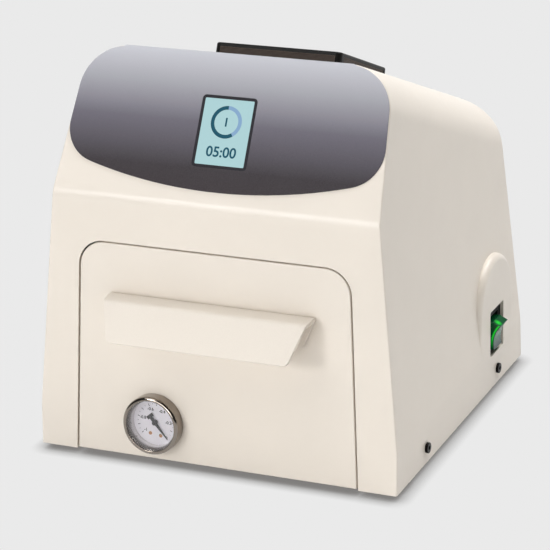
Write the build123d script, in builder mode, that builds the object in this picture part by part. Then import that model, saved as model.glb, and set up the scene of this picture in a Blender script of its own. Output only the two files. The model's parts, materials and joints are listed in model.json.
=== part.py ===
from build123d import *
from math import cos, radians, sin, tan
import os

# Dental lab light curing unit: a bench-top housing round a vacuum curing chamber, which is
# loaded by a pull-out drawer and lit from above by a cooled LED board.
# Millimetres. +Z is up and the front faces -Y. The origin lies on the bench, under the
# centre of the overall length.

# ---------------------------------------------------------------- driving dimensions
# Housing
width = 280.0
depth = 288.5
front_y = -131.1            # front bottom edge
rear_y = front_y + depth    # rear bottom edge
base_z = 5.0                # bottom edge above the bench
plinth_top_z = 36.0         # the sides stand upright below this and taper above it
plinth_blend = 150.0        # radius that eases the sides into their taper
side_taper = 5.05
front_lean = 3.23
console_lean = 29.3
top_slope = 21.2
rear_lean = 3.7
crease_z = 199.7            # where the front bends into the console
ridge_z = 296.3             # where the console meets the sloping top
crease_radius = 20.0
shoulder_radius = 36.0      # along the sides and the rear of the sloping top
edge_radius = 1.2
rear_edge_radius = 5.0
wall = 3.5
space = 60.0                # how far construction shapes run past the housing
running = 0.3               # gap between pieces that move past each other
slack = 0.1                 # radial gap of a screw or spigot in its hole
snug = 0.05                 # radial gap of a pin or spindle in its bearing
past = 1.0                  # how far a cut runs past the face it opens

# Switch blister on the right side
blister_y = 92.0
blister_z = 69.0            # centre of its arch
blister_radius = 40.0
blister_round = 5.0
blister_sink = 0.2          # its face lies this far inside the plinth's side

# Drawer front
drawer_top_z = 165.6        # middle of the seam
drawer_low_half = 110.4     # half width at the bottom edge, to the middle of the seam
drawer_high_half = 104.2    # half width at the top
drawer_corner = 19.5
seam = 1.2
drawer_bottom_z = 5.8
drawer_wall = 3.5
drawer_rim = 2.5
drawer_back_y = -97.0       # rear end of the drawer front's rim
drawer_edge = 1.0
plate = 2.0                 # sheet metal of the frame
boss_radius = 3.6

# Handle: folded sheet
handle_top_z = 130.1
handle_sheet = 3.0
handle_root_half = 79.5
handle_tip_half = 69.4
handle_reach = (16.8, 1.0)  # first fold: out, down
handle_lip = (16.6, 25.5)   # second fold: out, down
handle_leg = 24.0
handle_corner = 3.5

# Gauge, nominal size 40
gauge_x = -46.4
gauge_z = 34.2
gauge_radius = 22.0
gauge_proud = 10.2
gauge_case_radius = 20.4
gauge_case_depth = 14.0
gauge_case_front = 9.2
gauge_zero_angle = -50.0    # where the pointer rests, from the +X side

# Console
overlay_edge = 0.8          # the film stops this far inside the console's sides
overlay_top = 110.0         # up the console from the crease
overlay_low = 10.7
overlay_side_low = 31.0
overlay_top_corner = 34.0
overlay_low_corner = 28.0
overlay_thickness = 0.8
display_size = (42.0, 52.3)
display_corner = 3.0
display_centre = 53.9
panel_size = (42.7, 60.3, 2.6)
board_sheet = 1.6
board_corner = 2.0
board_hole = 1.6

# Fan, 92 mm, under its guard on the sloping top
guard_size = (100.4, 101.0, 14.1)
guard_front = 68.5          # from the ridge, down the slope
guard_corner = 5.0
guard_wall = 2.6
fan_size = 92.0
fan_depth = 25.4
fan_bore = 44.0
fan_hole_pitch = 82.5
fan_hole = 2.2              # radius
blade_count = 7

# Power switch
switch_y = 92.0
switch_z = 49.6
switch_window = (31.7, 36.7)
switch_recess = 2.7
rocker_z = 48.1
rocker_half = (9.0, 10.0)   # across, along at the tips
rocker_height = 13.5        # pivot to the tips
rocker_shoulder = (6.4, 11.7)       # above the pivot, half length
rocker_pivot_x = 130.2
rocker_tilt = 14.0

# Housing screws, M5 with a low socket head
screw_z = 16.8
screw_places = (-69.3, 92.7)

# Chamber and its frame
chamber_half = 89.0
chamber_floor_z = 64.0
chamber_roof_z = 149.0
chamber_back_y = 83.0
bulkhead_y = -89.0
window_centre_y = -5.0
window_opening = 130.0
window_size = 144.0
window_sheet = 4.0
led_board_z = 168.0
led_board_size = 150.0
led_rows = 6
led_pitch = 22.0
sink_base = 6.0
sink_height = 30.0
fin_count = 15
fin_sheet = 2.0

# Drawer slides, three nested channels a side
slide_x = 91.0              # back of the outer channel
slide_depth = 10.0
slide_low_z = 20.0
slide_high_z = 47.0
slide_sheet = 1.2
slide_front_y = -86.0
slide_rear_y = 80.0

# Tray
tray_half = 84.0
tray_floor_z = 66.0
tray_sheet = 1.5
tray_wall = 20.0
tray_back_y = 70.0

# ---------------------------------------------------------------- derived places
crease_y = front_y + (crease_z - base_z) * tan(radians(front_lean))
ridge_y = crease_y + (ridge_z - crease_z) * tan(radians(console_lean))
guard_centre = guard_front + guard_size[1] / 2
gauge_y = front_y + (gauge_z - base_z) * tan(radians(front_lean))
plate_back_y = drawer_back_y + plate
floor_z = base_z + 1.0      # underside of the base plate
deck_z = floor_z + plate    # top of the base plate


def leaning(x, y, z, lean):
    """A plane that faces the front and leans back by lean degrees."""
    return Plane(origin=(x, y, z), x_dir=(1, 0, 0), z_dir=(0, -cos(radians(lean)), sin(radians(lean))))


front_plane = leaning(0, front_y, base_z, front_lean)
gauge_plane = leaning(gauge_x, gauge_y, gauge_z, front_lean)
console_plane = leaning(0, crease_y, crease_z, console_lean)
display_plane = leaning(
    0,
    crease_y + display_centre * sin(radians(console_lean)),
    crease_z + display_centre * cos(radians(console_lean)),
    console_lean,
)
top_plane = Plane(
    origin=(
        0,
        ridge_y + guard_centre * cos(radians(top_slope)),
        ridge_z - guard_centre * sin(radians(top_slope)),
    ),
    x_dir=(1, 0, 0),
    z_dir=(0, sin(radians(top_slope)), cos(radians(top_slope))),
)
rear_plane = Plane(
    origin=(0, rear_y, base_z),
    x_dir=(-1, 0, 0),
    z_dir=(0, cos(radians(rear_lean)), sin(radians(rear_lean))),
)
pieces = {}


def keep(name, builder):
    """Label a finished piece and list it for export."""
    builder.part.label = name
    pieces[name] = builder.part


# ---------------------------------------------------------------- housing
def switch_blister(inset, bottom_z):
    """The arch-topped boss round the power switch, upright where the side tapers away."""
    face_x = width / 2 - blister_sink - inset
    radius = blister_radius - inset
    root_x = width / 2 - 4 * blister_round
    middle = Plane(origin=(0, blister_y, blister_z), x_dir=(1, 0, 0), z_dir=(0, 0, 1))
    with BuildPart() as blister:
        with BuildSketch(middle) as half:
            with BuildLine():
                Polyline((root_x, 0), (face_x, 0), (face_x, radius), (root_x, radius), close=True)
            make_face()
            fillet(half.vertices().sort_by(Axis.X)[-2:].sort_by(Axis.Y)[-1], blister_round - inset)
        revolve(axis=Axis((0, blister_y, blister_z), (1, 0, 0)), revolution_arc=180)
        with BuildSketch(middle) as whole:
            with BuildLine():
                Polyline(
                    (root_x, -radius), (face_x, -radius), (face_x, radius), (root_x, radius), close=True
                )
            make_face()
            fillet(whole.vertices().sort_by(Axis.X)[-2:], blister_round - inset)
        extrude(amount=bottom_z - blister_z)
    return blister.part


def housing_form(inset, bottom_z):
    """The housing as a closed form, or the space inside it where inset is the wall."""
    low = -space
    high = ridge_z + space
    far = front_y - space
    slope = tan(radians(top_slope))
    back_slope = tan(radians(rear_lean))
    corner_z = (ridge_z - (rear_y + base_z * back_slope - ridge_y) * slope) / (1 - slope * back_slope)
    corner_y = rear_y - (corner_z - base_z) * back_slope
    low_y = rear_y + (base_z - low) * back_slope
    high_half = width / 2 - (high - plinth_top_z) * tan(radians(side_taper))
    blister = switch_blister(inset, bottom_z)
    with BuildPart() as form:
        with BuildSketch(Plane.YZ):
            with BuildLine():
                Polyline(
                    (far, low),
                    (far, ridge_z + (ridge_y - far) * slope),
                    (corner_y, corner_z),
                    (low_y, low),
                    close=True,
                )
            make_face()
            if inset:
                offset(amount=-inset, kind=Kind.INTERSECTION)
        extrude(amount=width, both=True)
        with BuildSketch(Plane.XZ) as front_view:
            with BuildLine():
                Polyline(
                    (-width / 2, low),
                    (-width / 2, plinth_top_z),
                    (-high_half, high),
                    (high_half, high),
                    (width / 2, plinth_top_z),
                    (width / 2, low),
                    close=True,
                )
            make_face()
            knees = front_view.vertices().filter_by(lambda v: abs(v.Y - plinth_top_z) < past)
            fillet(knees, plinth_blend)
            if inset:
                offset(amount=-inset, kind=Kind.INTERSECTION)
        extrude(amount=2 * depth, both=True, mode=Mode.INTERSECT)
        rim = form.faces().sort_by(Axis.Z)[-1].edges()
        shoulders = [rim.sort_by(Axis.X)[0], rim.sort_by(Axis.X)[-1], rim.sort_by(Axis.Y)[-1]]
        fillet(shoulders, shoulder_radius - inset)
        if not inset:
            uprights = form.edges().filter_by(
                lambda e: e.center().Y > rear_y - space and abs(e.center().X) > width / 3 and e.length > space
            )
            fillet(uprights, rear_edge_radius)
        with BuildSketch(Plane.YZ) as front_cut:
            with BuildLine():
                Polyline(
                    (front_y - (base_z - low) * tan(radians(front_lean)), low),
                    (crease_y, crease_z),
                    (crease_y + (high - crease_z) * tan(radians(console_lean)), high),
                    (far, high),
                    (far, low),
                    close=True,
                )
            make_face()
            fillet(front_cut.vertices().filter_by(lambda v: abs(v.Y - crease_z) < past), crease_radius)
            if inset:
                offset(amount=inset, kind=Kind.INTERSECTION)
        extrude(amount=width, both=True, mode=Mode.SUBTRACT)
        split(bisect_by=Plane.XY.offset(bottom_z), keep=Keep.TOP)
        if not inset:
            fronts = [f for f in form.faces() if f.normal_at(f.center()).Y < -0.5]
            edges = [e for f in fronts for e in f.edges() if e.center().Z > base_z + past]
            rims = [e for e in edges if abs(e.center().X) > past or e.center().Z > ridge_z - edge_radius]
            fillet(rims, edge_radius)
        add(blister)
    return form.part


def drawer_outline(grow, bottom_z):
    """The drawer front's outline, x and z, grown past the middle of its seam."""
    taper = (drawer_low_half - drawer_high_half) / (drawer_top_z - base_z)
    top_z = drawer_top_z + grow
    low_half = drawer_low_half + grow + (base_z - bottom_z) * taper
    high_half = drawer_high_half + grow
    with BuildSketch() as outline:
        with BuildLine():
            Polyline(
                (-low_half, bottom_z),
                (-high_half, top_z),
                (high_half, top_z),
                (low_half, bottom_z),
                close=True,
            )
        make_face()
        fillet(outline.vertices().sort_by(Axis.Y)[-2:], drawer_corner + grow)
    return outline.sketch


outer_form = housing_form(0, base_z)
inner_form = housing_form(wall, base_z - space / 2)
switch_at = Plane(origin=(0, switch_y, switch_z), x_dir=(0, 1, 0), z_dir=(1, 0, 0))
window_corner = 2.0
inlet_x = 88.0
inlet_up = 40.0             # up the rear face from its bottom edge
inlet_cutout = (28.0, 20.5)
inlet_flange = (50.0, 24.0)
inlet_screw_pitch = 40.0
inlet_screw_radius = 1.5
vent_size = (3.0, 36.0)
vent_pitch = 8.0
vent_count = 11
vent_up = 120.0
screw_radius = 2.5
screw_clearance = 2.75
display_hole = (38.0, 50.0)
fan_opening = 43.0          # radius, in the housing

with BuildPart() as housing_shell:
    add(outer_form)
    add(inner_form, mode=Mode.SUBTRACT)
    with BuildSketch(Plane.XZ.offset(-front_y - space / 2)):
        add(drawer_outline(seam / 2, base_z - space / 4))
    extrude(amount=space, mode=Mode.SUBTRACT)
    with BuildSketch(display_plane):
        RectangleRounded(*display_hole, display_corner)
    extrude(amount=2 * wall, both=True, mode=Mode.SUBTRACT)
    with BuildSketch(top_plane):
        Circle(fan_opening)
        with GridLocations(fan_hole_pitch, fan_hole_pitch, 2, 2):
            Circle(fan_hole)
    extrude(amount=2 * wall, both=True, mode=Mode.SUBTRACT)
    with BuildSketch(switch_at.offset(width / 2)):
        RectangleRounded(*switch_window, window_corner)
    extrude(amount=2 * wall, both=True, mode=Mode.SUBTRACT)
    with BuildSketch(rear_plane):
        with Locations((-inlet_x, inlet_up)):
            Rectangle(*inlet_cutout)
            with GridLocations(inlet_screw_pitch, 1, 2, 1):
                Circle(inlet_screw_radius + slack)
        with Locations((0, vent_up)):
            with GridLocations(vent_pitch, 1, vent_count, 1):
                SlotOverall(vent_size[1], vent_size[0], rotation=90)
    extrude(amount=3 * wall, both=True, mode=Mode.SUBTRACT)
    for y in screw_places:
        with Locations(Plane(origin=(0, y, screw_z), x_dir=(0, 1, 0), z_dir=(1, 0, 0))):
            Cylinder(screw_clearance, 2 * width, mode=Mode.SUBTRACT)
keep("housing_shell", housing_shell)


# ---------------------------------------------------------------- console
def console_half(up):
    """Half the console's width at a height up its slope."""
    height = crease_z + up * cos(radians(console_lean))
    return width / 2 - (height - plinth_top_z) * tan(radians(side_taper))


overlay_low_half = console_half(overlay_side_low) - overlay_edge
overlay_high_half = console_half(overlay_top) - overlay_edge

with BuildPart() as console_overlay:
    with BuildSketch(console_plane) as film:
        with BuildLine():
            Polyline(
                (-overlay_low_half, overlay_side_low),
                (-overlay_high_half, overlay_top),
                (overlay_high_half, overlay_top),
                (overlay_low_half, overlay_side_low),
            )
            ThreePointArc(
                (overlay_low_half, overlay_side_low),
                (0, overlay_low),
                (-overlay_low_half, overlay_side_low),
            )
        make_face()
        fillet(film.vertices().group_by(Axis.Y)[-1], overlay_top_corner)
        fillet(film.vertices().group_by(Axis.Y)[0], overlay_low_corner)
    extrude(amount=overlay_thickness)
    with BuildSketch(display_plane):
        RectangleRounded(*display_size, display_corner)
    extrude(amount=overlay_thickness, mode=Mode.SUBTRACT)
keep("console_overlay", console_overlay)

with BuildPart() as display_window:
    with BuildSketch(display_plane):
        RectangleRounded(*display_size, display_corner)
    extrude(amount=overlay_thickness)
keep("display_window", display_window)

panel_depth = -wall - 1.0           # face of the display, behind the housing's wall
board_depth = panel_depth - panel_size[2]
control_depth = board_depth - 16.0
board_outline = (60.0, 84.0)
control_outline = (120.0, 84.0)
spacer_grid = (52.0, 76.0)
spacer_radius = 2.5
spacer_bore = 1.3
panel_corner = 1.0
connector_size = (26.0, 6.0)
connector_y = -board_outline[1] / 2 + 8
chip_places = [(-14.0, 12.0), (10.0, 8.0)]
chip_size = 10.0
chip_height = 2.2
relay_places = [(-44.0, -20.0), (-44.0, 12.0)]
relay_size = (15.0, 19.0)
controller_place = (12.0, 4.0)
controller_size = 14.0
header_place = (44.0, 0.0)
header_size = (8.0, 60.0)
relay_height = 9.0
capacitor_places = [(-14.0, -26.0), (0.0, -26.0), (14.0, -26.0)]
capacitor_radius = 4.0
capacitor_height = 14.0

with BuildPart() as display_panel:
    with BuildSketch(display_plane.offset(board_depth)):
        RectangleRounded(panel_size[0], panel_size[1], panel_corner)
    extrude(amount=panel_size[2])
keep("display_panel", display_panel)

with BuildPart() as display_board:
    with BuildSketch(display_plane.offset(board_depth - board_sheet)):
        RectangleRounded(*board_outline, board_corner)
        with GridLocations(*spacer_grid, 2, 2):
            Circle(board_hole, mode=Mode.SUBTRACT)
    extrude(amount=board_sheet)
    with BuildSketch(display_plane.offset(board_depth - board_sheet)):
        with Locations((0, connector_y)):
            Rectangle(*connector_size)
        with Locations(*chip_places):
            Rectangle(chip_size, chip_size)
    extrude(amount=-chip_height)
keep("display_board", display_board)

with BuildPart() as board_spacers:
    with BuildSketch(display_plane.offset(-wall)):
        with GridLocations(*spacer_grid, 2, 2):
            Circle(spacer_radius)
            Circle(spacer_bore, mode=Mode.SUBTRACT)
    extrude(amount=board_depth + wall)
    with BuildSketch(display_plane.offset(board_depth - board_sheet)):
        with GridLocations(*spacer_grid, 2, 2):
            Circle(spacer_radius)
            Circle(spacer_bore, mode=Mode.SUBTRACT)
    extrude(amount=control_depth - board_depth + board_sheet)
keep("board_spacers", board_spacers)

with BuildPart() as control_board:
    with BuildSketch(display_plane.offset(control_depth - board_sheet)):
        RectangleRounded(*control_outline, board_corner)
        with GridLocations(*spacer_grid, 2, 2):
            Circle(board_hole, mode=Mode.SUBTRACT)
    extrude(amount=board_sheet)
    with BuildSketch(display_plane.offset(control_depth - board_sheet)):
        with Locations(*relay_places):
            Rectangle(*relay_size)
        with Locations(controller_place):
            Rectangle(controller_size, controller_size)
        with Locations(header_place):
            Rectangle(*header_size)
    extrude(amount=-relay_height)
    with BuildSketch(display_plane.offset(control_depth - board_sheet)):
        with Locations(*capacitor_places):
            Circle(capacitor_radius)
    extrude(amount=-capacitor_height)
keep("control_board", control_board)

# ---------------------------------------------------------------- fan and guard
guard_inner = (guard_size[0] - 2 * guard_wall, guard_size[1] - 2 * guard_wall)
guard_skin = 2.4
guard_posts = (4.5, 7.5)    # solid ends beside the sunk panels, along X and down the slope
guard_panel = (1.5, 9.9)    # their lower edge above the housing, and their height
guard_sink = 1.2            # depth of the panels
base_sheet = 3.0
filter_sheet = 6.0
slot_width = 4.2
slot_pitch = 7.0
slot_rows = 11
slot_columns = 3
slot_column_pitch = 27.0
slot_length = 24.0
guard_draft = 2.0
guard_round = 1.5
filter_hole = 4.5

with BuildPart() as fan_guard:
    with BuildSketch(top_plane):
        RectangleRounded(guard_size[0], guard_size[1], guard_corner)
    extrude(amount=guard_size[2], taper=guard_draft)
    fillet(fan_guard.faces().sort_by(Axis.Z)[-1].edges(), guard_round)
    with BuildSketch(top_plane.offset(guard_panel[0])):
        Rectangle(guard_size[0] - 2 * guard_posts[0], guard_size[1] + past)
        Rectangle(guard_size[0] + past, guard_size[1] - 2 * guard_posts[1])
        Rectangle(guard_size[0] - 2 * guard_sink, guard_size[1] - 2 * guard_sink, mode=Mode.SUBTRACT)
    extrude(amount=guard_panel[1], mode=Mode.SUBTRACT)
    with BuildSketch(top_plane):
        RectangleRounded(*guard_inner, guard_corner - guard_wall)
    extrude(amount=guard_size[2] - guard_skin, taper=guard_draft, mode=Mode.SUBTRACT)
    with BuildSketch(top_plane):
        with GridLocations(slot_column_pitch, slot_pitch, slot_columns, slot_rows):
            SlotOverall(slot_length, slot_width)
    extrude(amount=guard_size[2] + past, mode=Mode.SUBTRACT)
keep("fan_guard", fan_guard)

with BuildPart() as fan_guard_base:
    with BuildSketch(top_plane):
        RectangleRounded(guard_inner[0] - past, guard_inner[1] - past, guard_corner - guard_wall)
        Circle(fan_opening, mode=Mode.SUBTRACT)
        with GridLocations(fan_hole_pitch, fan_hole_pitch, 2, 2):
            Circle(fan_hole, mode=Mode.SUBTRACT)
    extrude(amount=base_sheet)
keep("fan_guard_base", fan_guard_base)

with BuildPart() as fan_filter:
    with BuildSketch(top_plane.offset(base_sheet)):
        RectangleRounded(fan_bore * 2, fan_bore * 2, guard_corner)
        with GridLocations(fan_hole_pitch, fan_hole_pitch, 2, 2):
            Circle(filter_hole, mode=Mode.SUBTRACT)
    extrude(amount=filter_sheet)
keep("fan_filter", fan_filter)

fan_plane = top_plane.offset(-wall - fan_depth)
fan_corner = 4.0
hub_radius = 19.0
hub_height = 18.0
hub_low = 4.5
hub_round = 2.5
motor_radius = 17.0
motor_floor = 3.0
motor_clearance = 15.5      # depth of the hub's hollow
bearing_radius = 7.0
bearing_height = 14.0
blade_tip = fan_bore - 1.2
strut_width = 4.0
axle_radius = 1.5
axle_low = 4.0
axle_length = 18.0
low_end = (Align.CENTER, Align.CENTER, Align.MIN)

with BuildPart() as fan_frame:
    with BuildSketch(fan_plane):
        RectangleRounded(fan_size, fan_size, fan_corner)
        Circle(fan_bore, mode=Mode.SUBTRACT)
        with GridLocations(fan_hole_pitch, fan_hole_pitch, 2, 2):
            Circle(fan_hole, mode=Mode.SUBTRACT)
    extrude(amount=fan_depth)
    with BuildSketch(fan_plane):
        with PolarLocations(0, 4):
            with Locations((fan_bore / 2, 0)):
                Rectangle(fan_bore + strut_width, strut_width)
        Circle(hub_radius)
    extrude(amount=motor_floor)
    with BuildSketch(fan_plane.offset(motor_floor)):
        Circle(bearing_radius)
        Circle(axle_radius + snug, mode=Mode.SUBTRACT)
    extrude(amount=bearing_height)
keep("fan_frame", fan_frame)

blade_middle = 15.0         # above the fan's rear face
root_chord = (15.0, 1.8, 42.0)      # length, thickness, pitch
tip_chord = (26.0, 1.2, 24.0)


def blade_section(radius, chord):
    """The plane and size of a blade's section at a radius."""
    length, thickness, pitch = chord
    across = (0, cos(radians(pitch)), sin(radians(pitch)))
    plane = Plane(origin=(radius, 0, blade_middle), x_dir=across, z_dir=(1, 0, 0))
    with BuildSketch(plane) as section:
        Rectangle(length, thickness)
    return section.sketch


with BuildPart() as blade:
    loft([blade_section(hub_radius - 2, root_chord), blade_section(fan_bore, tip_chord)])
    with Locations((0, 0, blade_middle)):
        Cylinder(blade_tip, fan_depth, mode=Mode.INTERSECT)

with BuildPart() as rotor:
    with Locations((0, 0, hub_low)):
        Cylinder(hub_radius, hub_height, align=low_end)
    fillet(rotor.faces().sort_by(Axis.Z)[-1].edges(), hub_round)
    with PolarLocations(0, blade_count):
        add(blade.part)
    with Locations((0, 0, hub_low)):
        Cylinder(motor_radius, motor_clearance, align=low_end, mode=Mode.SUBTRACT)
    with Locations((0, 0, axle_low)):
        Cylinder(axle_radius, axle_length, align=low_end)

with BuildPart() as fan_impeller:
    add(rotor.part.locate(fan_plane.location))
keep("fan_impeller", fan_impeller)

fan_head_radius = 4.0
fan_head_height = 2.6

with BuildPart() as fan_screws:
    with BuildSketch(top_plane.offset(base_sheet)):
        with GridLocations(fan_hole_pitch, fan_hole_pitch, 2, 2):
            Circle(fan_head_radius)
    extrude(amount=fan_head_height)
    with BuildSketch(top_plane.offset(base_sheet)):
        with GridLocations(fan_hole_pitch, fan_hole_pitch, 2, 2):
            Circle(fan_hole - slack)
    extrude(amount=-(base_sheet + wall + fan_depth))
keep("fan_screws", fan_screws)

# ---------------------------------------------------------------- base
base_half = width / 2 - wall - slack
flange_top_z = 32.0
flange_middle_y = 8.0
flange_length = 230.0
weld_nut_radius = 5.0
weld_nut_depth = 6.0
notch_half = drawer_low_half + 2.6
notch_back_y = plate_back_y + 3.0
foot_places = [(x, y) for x in (-122.0, 122.0) for y in (-106.0, 128.0)]
foot_radius = 9.0
base_front_y = front_y + wall + 1.5
base_rear_y = rear_y - wall - 2.0
floor_vent_y = 72.0
floor_vent_count = 9
foot_hole = 2.1
switch_notch = (switch_window[0] + 8, switch_window[1] + 6)
foot_draft = 5.0

with BuildPart() as base_plate:
    with BuildSketch(Plane.XY.offset(floor_z)):
        with BuildLine():
            Polyline(
                (-base_half, base_front_y),
                (-notch_half, base_front_y),
                (-notch_half, notch_back_y),
                (notch_half, notch_back_y),
                (notch_half, base_front_y),
                (base_half, base_front_y),
                (base_half, base_rear_y),
                (-base_half, base_rear_y),
                close=True,
            )
        make_face()
        with Locations(*foot_places):
            Circle(foot_hole, mode=Mode.SUBTRACT)
        with Locations((0, floor_vent_y)):
            with GridLocations(vent_pitch, 1, floor_vent_count, 1):
                SlotOverall(vent_size[1], vent_size[0], rotation=90, mode=Mode.SUBTRACT)
    extrude(amount=plate)
    for side in (-1, 1):
        with BuildSketch(Plane.XY.offset(floor_z)):
            with Locations((side * (base_half - plate / 2), flange_middle_y)):
                Rectangle(plate, flange_length)
        extrude(amount=flange_top_z - floor_z)
    for y in screw_places:
        for side in (-1, 1):
            flange = Plane(
                origin=(side * (base_half - plate), y, screw_z), x_dir=(0, 1, 0), z_dir=(-side, 0, 0)
            )
            with BuildSketch(flange):
                Circle(weld_nut_radius)
            extrude(amount=weld_nut_depth)
            with BuildSketch(flange.offset(weld_nut_depth)):
                Circle(screw_radius + snug)
            extrude(amount=-2 * weld_nut_depth, mode=Mode.SUBTRACT)
    with Locations((base_half, switch_y, switch_z)):
        Box(4 * plate, *switch_notch, mode=Mode.SUBTRACT)
keep("base_plate", base_plate)

with BuildPart() as rubber_feet:
    with BuildSketch(Plane.XY):
        with Locations(*foot_places):
            Circle(foot_radius)
    extrude(amount=floor_z, taper=-foot_draft)
keep("rubber_feet", rubber_feet)

head_radius = 4.0
head_height = 2.2
socket_across = 3.0
socket_depth = 1.4
shank = 14.0

with BuildPart() as housing_screws:
    for side in (-1, 1):
        for y in screw_places:
            seat = Plane(origin=(side * width / 2, y, screw_z), x_dir=(0, 1, 0), z_dir=(side, 0, 0))
            with BuildSketch(seat):
                Circle(head_radius)
            extrude(amount=head_height)
            with BuildSketch(seat.offset(head_height)):
                RegularPolygon(socket_across / 2, 6, major_radius=False)
            extrude(amount=-socket_depth, mode=Mode.SUBTRACT)
            with BuildSketch(seat):
                Circle(screw_radius)
            extrude(amount=-shank)
keep("housing_screws", housing_screws)

# ---------------------------------------------------------------- chamber
bulkhead_half = 121.0
bulkhead_top_z = 176.0
slot_low_x = slide_x - slide_depth - 2.5
slot_high_x = slide_x + 1.5
slot_height = slide_high_z - slide_low_z + 4
slot_middle_z = (slide_high_z + slide_low_z) / 2
bulkhead_foot = (24.0, 14.0)
bulkhead_foot_x = 107.0
opening_corner = 6.0
chamber_centre_z = (chamber_floor_z + chamber_roof_z) / 2
chamber_height = chamber_roof_z - chamber_floor_z
bulkhead_back_y = bulkhead_y + plate
ports = [(-20.0, 112.0), (-72.0, 112.0)]    # through the chamber's rear wall: x, z
port_radius = 5.0

with BuildPart() as bulkhead_plate:
    with BuildSketch(Plane.XZ.offset(-bulkhead_back_y)) as sheet:
        with BuildLine():
            Polyline(
                (-bulkhead_half, deck_z),
                (-bulkhead_half, bulkhead_top_z),
                (bulkhead_half, bulkhead_top_z),
                (bulkhead_half, deck_z),
                close=True,
            )
        make_face()
        fillet(sheet.vertices().group_by(Axis.Y)[-1], 2 * drawer_corner)
        with Locations((0, chamber_centre_z)):
            RectangleRounded(2 * chamber_half, chamber_height, opening_corner, mode=Mode.SUBTRACT)
        for side in (-1, 1):
            with Locations((side * (slot_low_x + slot_high_x) / 2, slot_middle_z)):
                Rectangle(slot_high_x - slot_low_x, slot_height, mode=Mode.SUBTRACT)
    extrude(amount=plate)
    with BuildSketch(Plane.XY.offset(deck_z)):
        for side in (-1, 1):
            with Locations((side * bulkhead_foot_x, bulkhead_back_y + bulkhead_foot[1] / 2)):
                Rectangle(*bulkhead_foot)
    extrude(amount=plate)
keep("bulkhead_plate", bulkhead_plate)

with BuildPart() as chamber_box:
    with BuildSketch(Plane.XZ.offset(-bulkhead_back_y)):
        with Locations((0, chamber_centre_z)):
            RectangleRounded(2 * (chamber_half + plate), chamber_height + 2 * plate, opening_corner + plate)
    extrude(amount=bulkhead_back_y - chamber_back_y - plate)
    with BuildSketch(Plane.XZ.offset(-bulkhead_back_y)):
        with Locations((0, chamber_centre_z)):
            RectangleRounded(2 * chamber_half, chamber_height, opening_corner)
    extrude(amount=bulkhead_back_y - chamber_back_y, mode=Mode.SUBTRACT)
    with BuildSketch(Plane.XY.offset(chamber_roof_z - past)):
        with Locations((0, window_centre_y)):
            RectangleRounded(window_opening, window_opening, opening_corner)
    extrude(amount=plate + 2 * past, mode=Mode.SUBTRACT)
    with BuildSketch(Plane.XZ.offset(-chamber_back_y + past)):
        with Locations(*ports):
            Circle(port_radius)
    extrude(amount=-plate - 2 * past, mode=Mode.SUBTRACT)
keep("chamber_box", chamber_box)

support_x = 62.0
support_flange = 12.0
support_span = (48.0, 80.0)

with BuildPart() as chamber_supports:
    for side in (-1, 1):
        with BuildSketch(Plane.XZ.offset(-support_span[1])):
            low_x = side * support_x
            out_x = side * (support_x + support_flange)
            web_x = side * (support_x + plate)
            top_z = chamber_floor_z - plate
            with BuildLine():
                Polyline(
                    (low_x, deck_z),
                    (out_x, deck_z),
                    (out_x, deck_z + plate),
                    (web_x, deck_z + plate),
                    (web_x, top_z - plate),
                    (out_x, top_z - plate),
                    (out_x, top_z),
                    (low_x, top_z),
                    close=True,
                )
            make_face()
        extrude(amount=support_span[1] - support_span[0])
keep("chamber_supports", chamber_supports)

# ---------------------------------------------------------------- light
roof_top_z = chamber_roof_z + plate
seal_sheet = 1.0
clamp_overlap = 5.0
clamp_outer = window_size + 16.0
clamp_inner = window_size - 2 * clamp_overlap
clamp_sheet = 1.5
clamp_corner = 10.0
glass_pocket = window_size + 1.0
glass_chamfer = 0.5

with BuildPart() as window_seal:
    with BuildSketch(Plane.XY.offset(roof_top_z)):
        with Locations((0, window_centre_y)):
            RectangleRounded(window_size, window_size, opening_corner)
            RectangleRounded(window_opening, window_opening, opening_corner, mode=Mode.SUBTRACT)
    extrude(amount=seal_sheet)
keep("window_seal", window_seal)

glass_z = roof_top_z + seal_sheet

with BuildPart() as chamber_window:
    with BuildSketch(Plane.XY.offset(glass_z)):
        with Locations((0, window_centre_y)):
            RectangleRounded(window_size, window_size, opening_corner)
    extrude(amount=window_sheet)
    chamfer(chamber_window.faces().sort_by(Axis.Z)[-1].edges(), glass_chamfer)
keep("chamber_window", chamber_window)

clamp_top_z = glass_z + window_sheet + clamp_sheet

with BuildPart() as window_clamp:
    with BuildSketch(Plane.XY.offset(roof_top_z)):
        with Locations((0, window_centre_y)):
            RectangleRounded(clamp_outer, clamp_outer, clamp_corner)
            RectangleRounded(glass_pocket, glass_pocket, opening_corner, mode=Mode.SUBTRACT)
    extrude(amount=clamp_top_z - roof_top_z)
    with BuildSketch(Plane.XY.offset(glass_z + window_sheet)):
        with Locations((0, window_centre_y)):
            RectangleRounded(glass_pocket, glass_pocket, opening_corner)
            RectangleRounded(clamp_inner, clamp_inner, opening_corner, mode=Mode.SUBTRACT)
    extrude(amount=clamp_sheet)
keep("window_clamp", window_clamp)

post_pitch = led_board_size - 8.0
post_radius = 3.0
led_size = 3.5
led_height = 1.6
led_corner = 3.0
light_centre = Plane(origin=(0, window_centre_y, 0))

with BuildPart() as led_posts:
    with BuildSketch(light_centre.offset(clamp_top_z)):
        with GridLocations(post_pitch, post_pitch, 2, 2):
            RegularPolygon(post_radius, 6)
    extrude(amount=led_board_z - clamp_top_z)
keep("led_posts", led_posts)

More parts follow.
